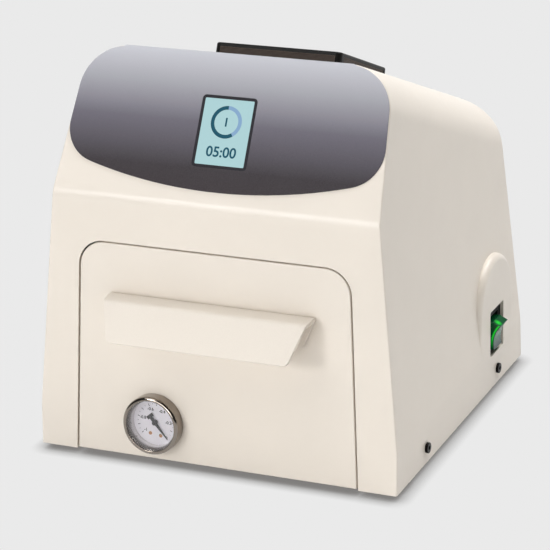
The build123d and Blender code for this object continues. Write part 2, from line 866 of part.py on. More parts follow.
with BuildPart() as led_board:
    with BuildSketch(light_centre.offset(led_board_z)):
        RectangleRounded(led_board_size, led_board_size, led_corner)
    extrude(amount=board_sheet)
    with BuildSketch(light_centre.offset(led_board_z)):
        with GridLocations(led_pitch, led_pitch, led_rows, led_rows):
            Rectangle(led_size, led_size)
    extrude(amount=-led_height)
keep("led_board", led_board)

sink_z = led_board_z + board_sheet

with BuildPart() as heat_sink:
    with BuildSketch(light_centre.offset(sink_z)):
        Rectangle(led_board_size, led_board_size)
    extrude(amount=sink_base)
    with BuildSketch(light_centre.offset(sink_z + sink_base)):
        with GridLocations((led_board_size - fin_sheet) / (fin_count - 1), 1, fin_count, 1):
            Rectangle(fin_sheet, led_board_size)
    extrude(amount=sink_height - sink_base)
keep("heat_sink", heat_sink)

# ---------------------------------------------------------------- drawer slides
slide_middle_z = (slide_low_z + slide_high_z) / 2
race = 1.9                  # room for the balls between two channels
web_gap = 0.8               # between two webs that pass each other
slide_tab = 10.0            # the inner channel's front end, bent over to bolt to the drawer
slide_setback = 3.0         # how much shorter each next channel is at the rear
bracket_foot = 12.0


def channel(side, back_x, mouth_x, half_height, y_range):
    """One slide channel: a web at back_x and two flanges that reach to mouth_x."""
    web = slide_sheet if mouth_x < back_x else -slide_sheet
    with BuildPart() as bar:
        with BuildSketch(Plane.XZ.offset(-y_range[1])):
            with BuildLine():
                Polyline(
                    (side * back_x, slide_middle_z - half_height),
                    (side * back_x, slide_middle_z + half_height),
                    (side * mouth_x, slide_middle_z + half_height),
                    (side * mouth_x, slide_middle_z + half_height - slide_sheet),
                    (side * (back_x - web), slide_middle_z + half_height - slide_sheet),
                    (side * (back_x - web), slide_middle_z - half_height + slide_sheet),
                    (side * mouth_x, slide_middle_z - half_height + slide_sheet),
                    (side * mouth_x, slide_middle_z - half_height),
                    close=True,
                )
            make_face()
        extrude(amount=y_range[1] - y_range[0])
    return bar.part


outer_half = (slide_high_z - slide_low_z) / 2
middle_half = outer_half - slide_sheet - race
inner_half = middle_half - slide_sheet - race
inner_web_x = slide_x - slide_depth
sides = (-1, 1)
outer_range = (slide_front_y, slide_rear_y)
middle_range = (slide_front_y, slide_rear_y - slide_setback)
inner_range = (plate_back_y, slide_rear_y - 2 * slide_setback)

outer_mouth_x = inner_web_x + 1.0
middle_back_x = slide_x - slide_sheet - web_gap
middle_mouth_x = inner_web_x + slide_sheet + web_gap
inner_mouth_x = slide_x - 4.0
outer_bars = [channel(side, slide_x, outer_mouth_x, outer_half, outer_range) for side in sides]
middle_bars = [channel(side, middle_back_x, middle_mouth_x, middle_half, middle_range) for side in sides]
inner_bars = [channel(side, inner_web_x, inner_mouth_x, inner_half, inner_range) for side in sides]

with BuildPart() as slide_outer_channels:
    add(outer_bars)
keep("slide_outer_channels", slide_outer_channels)

with BuildPart() as slide_middle_channels:
    add(middle_bars)
keep("slide_middle_channels", slide_middle_channels)

with BuildPart() as slide_inner_channels:
    add(inner_bars)
    for side in sides:
        tab_x = side * (inner_web_x - slide_tab / 2)
        with Locations((tab_x, plate_back_y + slide_sheet / 2, slide_middle_z)):
            Box(slide_tab, slide_sheet, 2 * inner_half)
keep("slide_inner_channels", slide_inner_channels)

with BuildPart() as slide_brackets:
    for side in sides:
        with BuildSketch(Plane.XZ.offset(-slide_rear_y)):
            with BuildLine():
                Polyline(
                    (side * slide_x, deck_z),
                    (side * slide_x, slide_high_z + past),
                    (side * (slide_x + plate), slide_high_z + past),
                    (side * (slide_x + plate), deck_z + plate),
                    (side * (slide_x + bracket_foot), deck_z + plate),
                    (side * (slide_x + bracket_foot), deck_z),
                    close=True,
                )
            make_face()
        extrude(amount=slide_rear_y - bulkhead_back_y - bulkhead_foot[1] - 2 * past)
keep("slide_brackets", slide_brackets)

# ---------------------------------------------------------------- drawer
backing_screw_corners = [(104.0, 16.0), (102.0, 58.0), (101.2, 104.0), (56.0, 161.0)]
backing_screw_places = [(side * x, z) for side in sides for x, z in backing_screw_corners]
backing_head_radius = 2.75
backing_head_height = 2.0
backing_inset = 0.4
backing_screw_length = 14.0
backing_hole_depth = 16.0
hose_port = (gauge_x, 86.0)
port_bore = 2.0
backing_screw_radius = 1.5
handle_screw_half = 56.0
handle_screw_z = handle_top_z - 14.0
handle_screw_radius = 2.0
pocket_depth = drawer_back_y - front_y + space
screw_face_y = front_y + (handle_screw_z - base_z) * tan(radians(front_lean))
handle_screw_planes = [
    leaning(side * handle_screw_half, screw_face_y, handle_screw_z, front_lean) for side in sides
]

with BuildPart() as pocket:
    with BuildSketch(Plane.XZ.offset(-drawer_back_y)):
        add(drawer_outline(-seam / 2 - drawer_rim, drawer_bottom_z + drawer_rim))
        with Locations(*backing_screw_places):
            Circle(boss_radius, mode=Mode.SUBTRACT)
    extrude(amount=pocket_depth)
    split(bisect_by=front_plane.offset(-drawer_wall), keep=Keep.BOTTOM)

with BuildPart() as drawer_front:
    with BuildSketch(Plane.XZ.offset(-drawer_back_y)):
        add(drawer_outline(-seam / 2, drawer_bottom_z))
    extrude(amount=pocket_depth)
    split(bisect_by=front_plane, keep=Keep.BOTTOM)
    fillet(drawer_front.faces().sort_by(Axis.Y)[0].edges(), drawer_edge)
    add(pocket.part, mode=Mode.SUBTRACT)
    with BuildSketch(Plane.XZ.offset(-drawer_back_y)):
        with Locations(*backing_screw_places):
            Circle(backing_screw_radius)
    extrude(amount=backing_hole_depth, mode=Mode.SUBTRACT)
    with BuildSketch(gauge_plane):
        Circle(gauge_case_radius + slack)
    extrude(amount=2 * drawer_wall, both=True, mode=Mode.SUBTRACT)
    for seat in handle_screw_planes:
        with BuildSketch(seat):
            Circle(handle_screw_radius + slack)
        extrude(amount=2 * drawer_wall, both=True, mode=Mode.SUBTRACT)
keep("drawer_front", drawer_front)

with BuildPart() as drawer_backing_plate:
    with BuildSketch(Plane.XZ.offset(-plate_back_y)):
        add(drawer_outline(-seam / 2 - backing_inset, drawer_bottom_z + backing_inset))
        with Locations(*backing_screw_places):
            Circle(backing_screw_radius + slack, mode=Mode.SUBTRACT)
        with Locations(hose_port):
            Circle(port_bore, mode=Mode.SUBTRACT)
    extrude(amount=plate)
keep("drawer_backing_plate", drawer_backing_plate)

with BuildPart() as backing_screws:
    with BuildSketch(Plane.XZ.offset(-plate_back_y)):
        with Locations(*backing_screw_places):
            Circle(backing_head_radius)
    extrude(amount=-backing_head_height)
    with BuildSketch(Plane.XZ.offset(-plate_back_y)):
        with Locations(*backing_screw_places):
            Circle(backing_screw_radius - snug)
    extrude(amount=backing_screw_length)
keep("backing_screws", backing_screws)

seal_gap = 2.5              # the seal stands this far outside the chamber's mouth
seal_width = 6.5
seal_corner = 12.0
seal_round = 1.5
seal_inner = (2 * (chamber_half + seal_gap), chamber_height + 2 * seal_gap)
seal_outer = (seal_inner[0] + 2 * seal_width, seal_inner[1] + 2 * seal_width)

with BuildPart() as drawer_seal:
    with BuildSketch(Plane.XZ.offset(-plate_back_y)):
        with Locations((0, chamber_centre_z)):
            RectangleRounded(*seal_outer, seal_corner)
            RectangleRounded(*seal_inner, opening_corner, mode=Mode.SUBTRACT)
    extrude(amount=plate_back_y - bulkhead_y + running)
    fillet(drawer_seal.faces().sort_by(Axis.Y)[-1].edges(), seal_round)
keep("drawer_seal", drawer_seal)

tray_length = tray_back_y - plate_back_y
tray_middle_y = (tray_back_y + plate_back_y) / 2
tray_front_height = 34.0
tray_corner = 6.0

with BuildPart() as drawer_tray:
    with BuildSketch(Plane.XY.offset(tray_floor_z)) as floor:
        with Locations((0, tray_middle_y)):
            Rectangle(2 * tray_half, tray_length)
        fillet(floor.vertices().group_by(Axis.Y)[-1], tray_corner)
    extrude(amount=tray_wall)
    with BuildSketch(Plane.XY.offset(tray_floor_z + tray_sheet)) as hollow:
        with Locations((0, tray_middle_y)):
            Rectangle(2 * (tray_half - tray_sheet), tray_length - 2 * tray_sheet)
        fillet(hollow.vertices().group_by(Axis.Y)[-1], tray_corner - tray_sheet)
    extrude(amount=tray_wall, mode=Mode.SUBTRACT)
    with BuildSketch(Plane.XZ.offset(-plate_back_y)):
        with Locations((0, tray_floor_z + tray_front_height / 2)):
            Rectangle(2 * tray_half, tray_front_height)
    extrude(amount=-tray_sheet)
    with BuildSketch(Plane.XZ.offset(-plate_back_y)):
        with Locations(hose_port):
            Circle(port_bore + past)
    extrude(amount=-2 * tray_sheet, mode=Mode.SUBTRACT)
keep("drawer_tray", drawer_tray)

specimen_size = (152.0, 140.0, 3.0)
specimen_corner = 8.0
specimen_chamfer = 0.4

with BuildPart() as specimen_plate:
    with BuildSketch(Plane.XY.offset(tray_floor_z + tray_sheet)):
        with Locations((0, tray_middle_y)):
            RectangleRounded(specimen_size[0], specimen_size[1], specimen_corner)
    extrude(amount=specimen_size[2])
    chamfer(specimen_plate.faces().sort_by(Axis.Z)[-1].edges(), specimen_chamfer)
keep("specimen_plate", specimen_plate)

# ---------------------------------------------------------------- handle
handle_fold_half = handle_root_half - 1.3
handle_inner_bend = 5.0
handle_outer_bend = 8.0
face_top_y = front_y + (handle_top_z - base_z) * tan(radians(front_lean))
leg_low_z = handle_top_z - handle_leg
leg_low_y = face_top_y - handle_leg * tan(radians(front_lean))
fold_y = face_top_y - handle_reach[0]
fold_z = handle_top_z - handle_reach[1]
lip_y = fold_y - handle_lip[0]
lip_z = fold_z - handle_lip[1]

with BuildPart() as drawer_handle:
    with BuildSketch(Plane.YZ):
        with BuildLine():
            outer = FilletPolyline(
                (leg_low_y, leg_low_z),
                (face_top_y, handle_top_z),
                (fold_y, fold_z),
                (lip_y, lip_z),
                radius=[handle_inner_bend, handle_outer_bend],
            )
            offset(outer, amount=handle_sheet, side=Side.LEFT)
        make_face()
    extrude(amount=handle_root_half, both=True)
    with BuildSketch(Plane.XZ.offset(-leg_low_y)) as face_view:
        with BuildLine():
            Polyline(
                (-handle_tip_half, lip_z),
                (-handle_fold_half, fold_z),
                (-handle_root_half, handle_top_z + past),
                (handle_root_half, handle_top_z + past),
                (handle_fold_half, fold_z),
                (handle_tip_half, lip_z),
                close=True,
            )
        make_face()
        fillet(face_view.vertices().group_by(Axis.Y)[0], handle_corner)
    extrude(amount=space, both=True, mode=Mode.INTERSECT)
    for seat in handle_screw_planes:
        with BuildSketch(seat):
            Circle(handle_screw_radius + slack)
        extrude(amount=2 * handle_sheet, both=True, mode=Mode.SUBTRACT)
keep("drawer_handle", drawer_handle)

handle_head_radius = 3.8
handle_head_height = 2.2
handle_nut_half = 3.5       # half across its flats
handle_nut_height = 3.2

with BuildPart() as handle_screws:
    for seat in handle_screw_planes:
        with BuildSketch(seat.offset(handle_sheet)):
            Circle(handle_head_radius)
        extrude(amount=handle_head_height)
        with BuildSketch(seat.offset(handle_sheet)):
            Circle(handle_screw_radius)
        extrude(amount=-handle_sheet - drawer_wall - handle_nut_height - past)
keep("handle_screws", handle_screws)

with BuildPart() as handle_nuts:
    for seat in handle_screw_planes:
        with BuildSketch(seat.offset(-drawer_wall)):
            RegularPolygon(handle_nut_half, 6, major_radius=False)
            Circle(handle_screw_radius + snug, mode=Mode.SUBTRACT)
        extrude(amount=-handle_nut_height)
keep("handle_nuts", handle_nuts)

# ---------------------------------------------------------------- gauge
case_back = -gauge_case_depth
case_sheet = 0.8
case_inner = gauge_case_radius - case_sheet
stem_radius = 6.0
stem_bore = 1.5
bezel_round = 1.8
bezel_opening = 19.0
glass_sheet = 1.4
stem_end = -22.0
dial_z = -1.1
dial_sheet = 0.8
dial_radius = 17.4          # what the tapered ring leaves in view
ring_bottom_z = dial_z + dial_sheet
ring_top_z = gauge_case_front - glass_sheet - 2 * slack
pointer_z = 0.8
pointer_sheet = 0.6
spindle_radius = 0.9
spindle_hole = spindle_radius + running

with BuildPart(gauge_plane) as gauge_case:
    with Locations((0, 0, case_back)):
        Cylinder(gauge_case_radius, gauge_case_front - case_back, align=low_end)
    with Locations((0, 0, case_back + case_sheet)):
        Cylinder(case_inner, gauge_case_front - case_back, align=low_end, mode=Mode.SUBTRACT)
    with Locations((0, 0, stem_end)):
        Cylinder(stem_radius, case_back - stem_end, align=low_end)
        Cylinder(stem_bore, case_back - stem_end + 2 * past, align=low_end, mode=Mode.SUBTRACT)
keep("gauge_case", gauge_case)

with BuildPart(gauge_plane) as gauge_bezel:
    Cylinder(gauge_radius, gauge_proud, align=low_end)
    fillet(gauge_bezel.faces().sort_by(Axis.Y)[0].edges(), bezel_round)
    Cylinder(gauge_case_radius + snug, gauge_case_front + slack, align=low_end, mode=Mode.SUBTRACT)
    Cylinder(bezel_opening, gauge_proud + past, align=low_end, mode=Mode.SUBTRACT)
keep("gauge_bezel", gauge_bezel)

with BuildPart(gauge_plane) as gauge_glass:
    with Locations((0, 0, gauge_case_front - glass_sheet - slack)):
        Cylinder(case_inner - slack, glass_sheet, align=low_end)
keep("gauge_glass", gauge_glass)

with BuildPart(gauge_plane) as gauge_dial:
    with Locations((0, 0, dial_z)):
        Cylinder(case_inner - slack, dial_sheet, align=low_end)
    with Locations((0, 0, dial_z - past)):
        Cylinder(spindle_hole, dial_sheet + 2 * past, align=low_end, mode=Mode.SUBTRACT)
keep("gauge_dial", gauge_dial)

with BuildPart(gauge_plane) as gauge_ring:
    with Locations((0, 0, ring_bottom_z)):
        Cylinder(case_inner - slack, ring_top_z - ring_bottom_z, align=low_end)
        Cone(dial_radius, bezel_opening, ring_top_z - ring_bottom_z, align=low_end, mode=Mode.SUBTRACT)
keep("gauge_ring", gauge_ring)

pointer_plane = Plane(
    origin=gauge_plane.origin,
    x_dir=gauge_plane.x_dir.rotate(Axis((0, 0, 0), gauge_plane.z_dir), gauge_zero_angle),
    z_dir=gauge_plane.z_dir,
)

pointer_length = 15.6
pointer_tip_half = 0.15
pointer_half = 0.9
pointer_hub = 1.9
tail_start = -4.6
tail_end = -7.2
tail_half = 2.0
spindle_end = -5.0

with BuildPart(pointer_plane) as gauge_pointer:
    with BuildSketch(pointer_plane.offset(pointer_z)):
        with BuildLine():
            Polyline(
                (pointer_length, 0),
                (pointer_length, pointer_tip_half),
                (0, pointer_half),
                (tail_start, pointer_half),
                (tail_start, tail_half),
                (tail_end, tail_half),
                (tail_end, 0),
            )
            mirror(about=Plane.XZ)
        make_face()
        Circle(pointer_hub)
    extrude(amount=pointer_sheet)
    with Locations((0, 0, spindle_end)):
        Cylinder(spindle_radius, pointer_z - spindle_end + pointer_sheet, align=low_end)
keep("gauge_pointer", gauge_pointer)

tube_radius = 12.0
tube_section = (5.2, 3.2)   # of the flattened Bourdon tube
tube_chamfer = 1.0
tube_start = -80.0
tube_sweep = 270.0
tube_z = -8.0
block_size = (9.0, 7.0, 12.0)
arm_size = (5.0, tube_radius, 1.6)
arm_z = -5.4
bearing_disc = 5.5

with BuildPart(gauge_plane) as gauge_movement:
    with BuildLine(gauge_plane.offset(tube_z)):
        arc = CenterArc((0, 0), tube_radius, tube_start, tube_sweep)
    with BuildSketch(Plane(origin=arc @ 0, z_dir=arc % 0)) as section:
        Rectangle(*tube_section)
        chamfer(section.vertices(), tube_chamfer)
    sweep(path=arc)
    with Locations((0, -tube_radius, case_back + case_sheet)):
        Box(*block_size, align=low_end)
    with Locations((0, -tube_radius / 2, arm_z)):
        Box(*arm_size, align=low_end)
    with Locations((0, 0, arm_z)):
        Cylinder(bearing_disc, arm_size[2], align=low_end)
        Cylinder(spindle_radius + snug, 2 * arm_size[2], align=low_end, mode=Mode.SUBTRACT)
keep("gauge_movement", gauge_movement)

strap_half = 25.5
strap_width = 18.0
strap_sheet = 1.5
strap_z = case_back - strap_sheet - snug
nut_half = 9.0
nut_height = 4.0

with BuildPart(gauge_plane) as gauge_strap:
    with Locations((0, 0, strap_z)):
        Box(2 * strap_half, strap_width, strap_sheet, align=low_end)
        Cylinder(stem_radius + slack, strap_sheet, align=low_end, mode=Mode.SUBTRACT)
    for side in sides:
        with Locations((side * (strap_half - strap_sheet / 2), 0, strap_z)):
            Box(strap_sheet, strap_width, -strap_z - drawer_wall, align=low_end)
keep("gauge_strap", gauge_strap)

with BuildPart(gauge_plane) as gauge_nut:
    with BuildSketch(gauge_plane.offset(strap_z)):
        RegularPolygon(nut_half, 6, major_radius=False)
        Circle(stem_radius + snug, mode=Mode.SUBTRACT)
    extrude(amount=-nut_height)
keep("gauge_nut", gauge_nut)

barb_radius = 2.6
barb_length = 16.0
barb_reach = 12.0           # what the pump's and the valve's barbs stand up
elbow_radius = 4.5
elbow_length = 7.5
hose_wall = 1.4
hose_bore = barb_radius + 0.02
hose_start = 6.0            # up the barb from its elbow
elbow_plane = gauge_plane.offset(stem_end - elbow_radius)
elbow_y = elbow_plane.origin.Y
elbow_z = elbow_plane.origin.Z

with BuildPart() as hose_elbows:
    with BuildSketch(gauge_plane.offset(stem_end)):
        Circle(elbow_radius)
    extrude(amount=-elbow_length)
    with BuildSketch(Plane.XZ.offset(-drawer_back_y)):
        with Locations(hose_port):
            Circle(elbow_radius)
    extrude(amount=drawer_back_y - elbow_y + elbow_radius)
    with BuildSketch(Plane(origin=(gauge_x, elbow_y, elbow_z))):
        Circle(barb_radius)
    extrude(amount=barb_length)
    with BuildSketch(Plane(origin=(gauge_x, elbow_y, hose_port[1]))):
        Circle(barb_radius)
    extrude(amount=-barb_length)
keep("hose_elbows", hose_elbows)

with BuildPart() as gauge_hose:
    with BuildSketch(Plane(origin=(gauge_x, elbow_y, elbow_z + hose_start))):
        Circle(barb_radius + hose_wall)
        Circle(hose_bore, mode=Mode.SUBTRACT)
    extrude(amount=hose_port[1] - elbow_z - 2 * hose_start)
keep("gauge_hose", gauge_hose)

# ---------------------------------------------------------------- power switch
frame_face_x = width / 2 - switch_recess
frame_skin_x = width / 2 - blister_sink - wall - slack
bezel_edge = 2.0
switch_body = (25.0, 33.0)
switch_depth = 20.0
rocker_swing = 1.7          # room for the shoulders as the rocker tips
pocket_half = (rocker_half[0] + running, rocker_shoulder[1] + rocker_swing)
pocket_floor_x = rocker_pivot_x - 8.0
pin_radius = 1.5
pin_length = 1.3
tab_size = (0.8, 6.3)       # quarter inch push-on terminals
tab_length = 9.0
switch_tab_grid = (10.0, 14.0)

with BuildPart() as switch_frame:
    with BuildSketch(switch_at.offset(frame_skin_x)):
        RectangleRounded(switch_window[0] + 2 * bezel_edge, switch_window[1] + 2 * bezel_edge, bezel_edge)
    extrude(amount=-bezel_edge)
    with BuildSketch(switch_at.offset(frame_skin_x)):
        RectangleRounded(switch_window[0] - 4 * slack, switch_window[1] - 4 * slack, window_corner)
    extrude(amount=frame_face_x - frame_skin_x)
    with BuildSketch(switch_at.offset(frame_skin_x - bezel_edge)):
        Rectangle(*switch_body)
    extrude(amount=-switch_depth)
    with BuildSketch(switch_at.offset(frame_face_x + past)):
        with Locations((0, rocker_z - switch_z)):
            Rectangle(2 * pocket_half[0], 2 * pocket_half[1])
    extrude(amount=pocket_floor_x - frame_face_x - past, mode=Mode.SUBTRACT)
    with BuildSketch(Plane.XZ.offset(-switch_y)):
        with Locations((rocker_pivot_x, rocker_z)):
            Circle(pin_radius + snug)
    extrude(amount=rocker_half[0] + pin_length + running, both=True, mode=Mode.SUBTRACT)
    with BuildSketch(switch_at.offset(frame_skin_x - bezel_edge - switch_depth)):
        with GridLocations(*switch_tab_grid, 2, 2):
            Rectangle(*tab_size)
    extrude(amount=-tab_length)
keep("switch_frame", switch_frame)

tilt = radians(rocker_tilt)
rocker_plane = Plane(
    origin=(rocker_pivot_x, switch_y, rocker_z),
    x_dir=(cos(tilt), 0, -sin(tilt)),
    z_dir=(0, -1, 0),
)

rocker_waist = 9.0          # half length at the pivot
rocker_keel = (-4.0, 6.0)   # depth below the pivot, half length
rocker_dish = 2.6

with BuildPart() as switch_rocker:
    with BuildSketch(rocker_plane):
        with BuildLine():
            Polyline(
                (rocker_height, rocker_half[1]),
                rocker_shoulder,
                (0, rocker_waist),
                (rocker_keel[0], rocker_keel[1]),
                (rocker_keel[0], -rocker_keel[1]),
                (0, -rocker_waist),
                (rocker_shoulder[0], -rocker_shoulder[1]),
                (rocker_height, -rocker_half[1]),
            )
            ThreePointArc(
                (rocker_height, -rocker_half[1]),
                (rocker_height - rocker_dish, 0),
                (rocker_height, rocker_half[1]),
            )
        make_face()
    extrude(amount=rocker_half[0], both=True)
    with BuildSketch(rocker_plane):
        Circle(pin_radius)
    extrude(amount=rocker_half[0] + pin_length, both=True)
keep("switch_rocker", switch_rocker)

# ---------------------------------------------------------------- electrics and vacuum
psu_size = (82.0, 99.0, 30.0)
psu_slot = (20.0, 3.0)
psu_slot_pitch = (7.0, 26.0)
psu_slot_middle = 6.0
psu_slot_depth = 1.2
psu_slot_columns = 9
psu_slot_rows = 3
terminal_z = deck_z + 12.0
terminal_recess = (74.0, 10.5)
terminal_size = (64.0, 9.5, 11.0)
terminal_y = -psu_size[1] / 2 + 5.1
terminal_screw = 3.0        # radius and depth of the screw wells
terminal_pitch = 9.0
terminal_count = 7

with BuildPart() as power_supply:
    with BuildSketch(Plane.XY.offset(deck_z)):
        Rectangle(psu_size[0], psu_size[1])
    extrude(amount=psu_size[2])
    with BuildSketch(Plane.XY.offset(deck_z + psu_size[2])):
        with Locations((0, psu_slot_middle)):
            with GridLocations(*psu_slot_pitch, psu_slot_columns, psu_slot_rows):
                SlotOverall(*psu_slot, rotation=90)
    extrude(amount=-psu_slot_depth, mode=Mode.SUBTRACT)
    with BuildSketch(Plane.XY.offset(terminal_z)):
        with Locations((0, terminal_y)):
            Rectangle(*terminal_recess)
    extrude(amount=psu_size[2], mode=Mode.SUBTRACT)
keep("power_supply", power_supply)

with BuildPart() as terminal_strip:
    with BuildSketch(Plane.XY.offset(terminal_z)):
        with Locations((0, terminal_y)):
            Rectangle(terminal_size[0], terminal_size[1])
    extrude(amount=terminal_size[2])
    with BuildSketch(Plane.XY.offset(terminal_z + terminal_size[2])):
        with Locations((0, terminal_y)):
            with GridLocations(terminal_pitch, 1, terminal_count, 1):
                Circle(terminal_screw)
    extrude(amount=-terminal_screw, mode=Mode.SUBTRACT)
keep("terminal_strip", terminal_strip)

pump_y = 118.0
pump_x = ports[0][0]
mount_height = 6.0
cradle_z = deck_z + mount_height
pump_head = (36.0, 44.0, 42.0)
pump_head_corner = 4.0
pump_head_chamfer = 1.5
pump_base = (82.0, 40.0)
pump_base_corner = 3.0
pump_base_x = pump_x + 21.0
motor_length = 46.0
pump_motor_radius = 17.0
motor_start_x = pump_x + pump_head[0] / 2
motor_z = cradle_z + plate + pump_motor_radius + past
saddle_size = (34.0, 20.0, 6.0)
mount_radius = 5.0
mount_grid = (66.0, 28.0)

with BuildPart() as pump_mounts:
    with BuildSketch(Plane.XY.offset(deck_z)):
        with Locations((pump_base_x, pump_y)):
            with GridLocations(*mount_grid, 2, 2):
                Circle(mount_radius)
    extrude(amount=mount_height)
keep("pump_mounts", pump_mounts)

with BuildPart() as vacuum_pump:
    with BuildSketch(Plane.XY.offset(cradle_z)):
        with Locations((pump_base_x, pump_y)):
            RectangleRounded(*pump_base, pump_base_corner)
    extrude(amount=plate)
    with BuildSketch(Plane.XY.offset(cradle_z + plate)):
        with Locations((pump_x, pump_y)):
            RectangleRounded(pump_head[0], pump_head[1], pump_head_corner)
    extrude(amount=pump_head[2])
    chamfer(vacuum_pump.faces().sort_by(Axis.Z)[-1].edges(), pump_head_chamfer)
    with BuildSketch(Plane(origin=(motor_start_x, pump_y, motor_z), z_dir=(1, 0, 0))):
        Circle(pump_motor_radius)
    extrude(amount=motor_length)
    with BuildSketch(Plane(origin=(motor_start_x, pump_y, cradle_z + plate))):
        with Locations((motor_length / 2, 0)):
            Rectangle(saddle_size[0], saddle_size[1])
    extrude(amount=saddle_size[2])
    with BuildSketch(Plane.XY.offset(cradle_z + plate + pump_head[2])):
        with Locations((pump_x, pump_y)):
            Circle(barb_radius)
    extrude(amount=barb_reach)
keep("vacuum_pump", vacuum_pump)

valve_x = ports[1][0]
valve_size = (28.0, 28.0, 20.0)
valve_corner = 2.0
coil_radius = 11.0
coil_height = 16.0

with BuildPart() as release_valve:
    with BuildSketch(Plane.XY.offset(deck_z)):
        with Locations((valve_x, pump_y)):
            RectangleRounded(valve_size[0], valve_size[1], valve_corner)
    extrude(amount=valve_size[2])
    with BuildSketch(Plane.XY.offset(deck_z + valve_size[2])):
        with Locations((valve_x, pump_y)):
            Circle(coil_radius)
    extrude(amount=coil_height)
    with BuildSketch(Plane.XY.offset(deck_z + valve_size[2] + coil_height)):
        with Locations((valve_x, pump_y)):
            Circle(barb_radius)
    extrude(amount=barb_reach)
keep("release_valve", release_valve)

hose_gap = 3.0
hose_bend = 20.0
hose_low_z = [
    cradle_z + plate + pump_head[2] + hose_gap,
    deck_z + valve_size[2] + coil_height + hose_gap,
]
fitting_y = chamber_back_y + plate
fitting_length = 14.0
fitting_nut_half = 8.0
fitting_nut_height = 4.0

with BuildPart() as port_fittings:
    with BuildSketch(Plane.XZ.offset(-fitting_y)):
        with Locations(*ports):
            RegularPolygon(fitting_nut_half, 6, major_radius=False)
    extrude(amount=-fitting_nut_height)
    with BuildSketch(Plane.XZ.offset(-chamber_back_y)):
        with Locations(*ports):
            Circle(port_radius - snug)
    extrude(amount=-plate)
    with BuildSketch(Plane.XZ.offset(-fitting_y - fitting_nut_height)):
        with Locations(*ports):
            Circle(barb_radius)
    extrude(amount=fitting_nut_height - fitting_length)
    with BuildSketch(Plane.XZ.offset(-chamber_back_y)):
        with Locations(*ports):
            Circle(stem_bore)
    extrude(amount=-fitting_length - plate, mode=Mode.SUBTRACT)
keep("port_fittings", port_fittings)


def vacuum_hose(x, z, low_z):
    """A hose that leaves the chamber's rear wall and turns down to the piece below it."""
    with BuildPart() as hose:
        with BuildLine():
            path = FilletPolyline(
                (x, fitting_y + fitting_nut_height + past, z),
                (x, pump_y, z),
                (x, pump_y, low_z),
                radius=hose_bend,
            )
        with BuildSketch(Plane(origin=path @ 0, z_dir=path % 0)):
            Circle(barb_radius + hose_wall)
            Circle(hose_bore, mode=Mode.SUBTRACT)
        sweep(path=path)
    return hose.part


hoses = [vacuum_hose(x, z, low_z) for (x, z), low_z in zip(ports, hose_low_z)]

with BuildPart() as vacuum_hoses:
    add(hoses)
keep("vacuum_hoses", vacuum_hoses)

flange_sheet = 2.5
flange_corner = 3.0
inlet_depth = 22.0
socket_size = (24.4, 16.6)
socket_chamfer = 4.0
inlet_socket_depth = 17.0
inlet_pin = (2.0, 4.0, 14.0)
inlet_tab_length = 8.0
inlet_head_radius = 2.8
inlet_head_height = 1.0
pin_places = [(-7.0, -2.0), (0.0, 2.0), (7.0, -2.0)]
inlet_at = Plane(
    origin=rear_plane.from_local_coords((-inlet_x, inlet_up, 0)),
    x_dir=rear_plane.x_dir,
    z_dir=rear_plane.z_dir,
)

with BuildPart() as mains_inlet:
    with BuildSketch(inlet_at):
        RectangleRounded(*inlet_flange, flange_corner)
        with GridLocations(inlet_screw_pitch, 1, 2, 1):
            Circle(inlet_screw_radius + slack, mode=Mode.SUBTRACT)
    extrude(amount=flange_sheet)
    with BuildSketch(inlet_at):
        Rectangle(inlet_cutout[0] - 4 * slack, inlet_cutout[1] - 4 * slack)
    extrude(amount=-inlet_depth)
    with BuildSketch(inlet_at.offset(flange_sheet)) as socket:
        Rectangle(*socket_size)
        chamfer(socket.vertices().group_by(Axis.Y)[-1], socket_chamfer)
    extrude(amount=-inlet_socket_depth, mode=Mode.SUBTRACT)
    with BuildSketch(inlet_at.offset(flange_sheet - inlet_socket_depth)):
        with Locations(*pin_places):
            Rectangle(inlet_pin[0], inlet_pin[1])
    extrude(amount=inlet_pin[2])
    with BuildSketch(inlet_at.offset(-inlet_depth)):
        with Locations(*pin_places):
            Rectangle(*tab_size)
    extrude(amount=-inlet_tab_length)
keep("mains_inlet", mains_inlet)

with BuildPart() as inlet_screws:
    with BuildSketch(inlet_at.offset(flange_sheet)):
        with GridLocations(inlet_screw_pitch, 1, 2, 1):
            Circle(inlet_head_radius)
    extrude(amount=inlet_head_height)
    with BuildSketch(inlet_at.offset(flange_sheet)):
        with GridLocations(inlet_screw_pitch, 1, 2, 1):
            Circle(inlet_screw_radius)
    extrude(amount=-flange_sheet - 2 * wall)
keep("inlet_screws", inlet_screws)

# ---------------------------------------------------------------- files
os.makedirs("parts", exist_ok=True)
for name, piece in pieces.items():
    export_step(piece, f"parts/{name}.step")
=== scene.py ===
"""Dresses the frame of a dental light curing unit, and sets up its studio.

Lengths are metres. Z is up, the drawer faces -Y and the origin lies on the bench.
"""

import json
import math

import bpy
from mathutils import Matrix, Vector

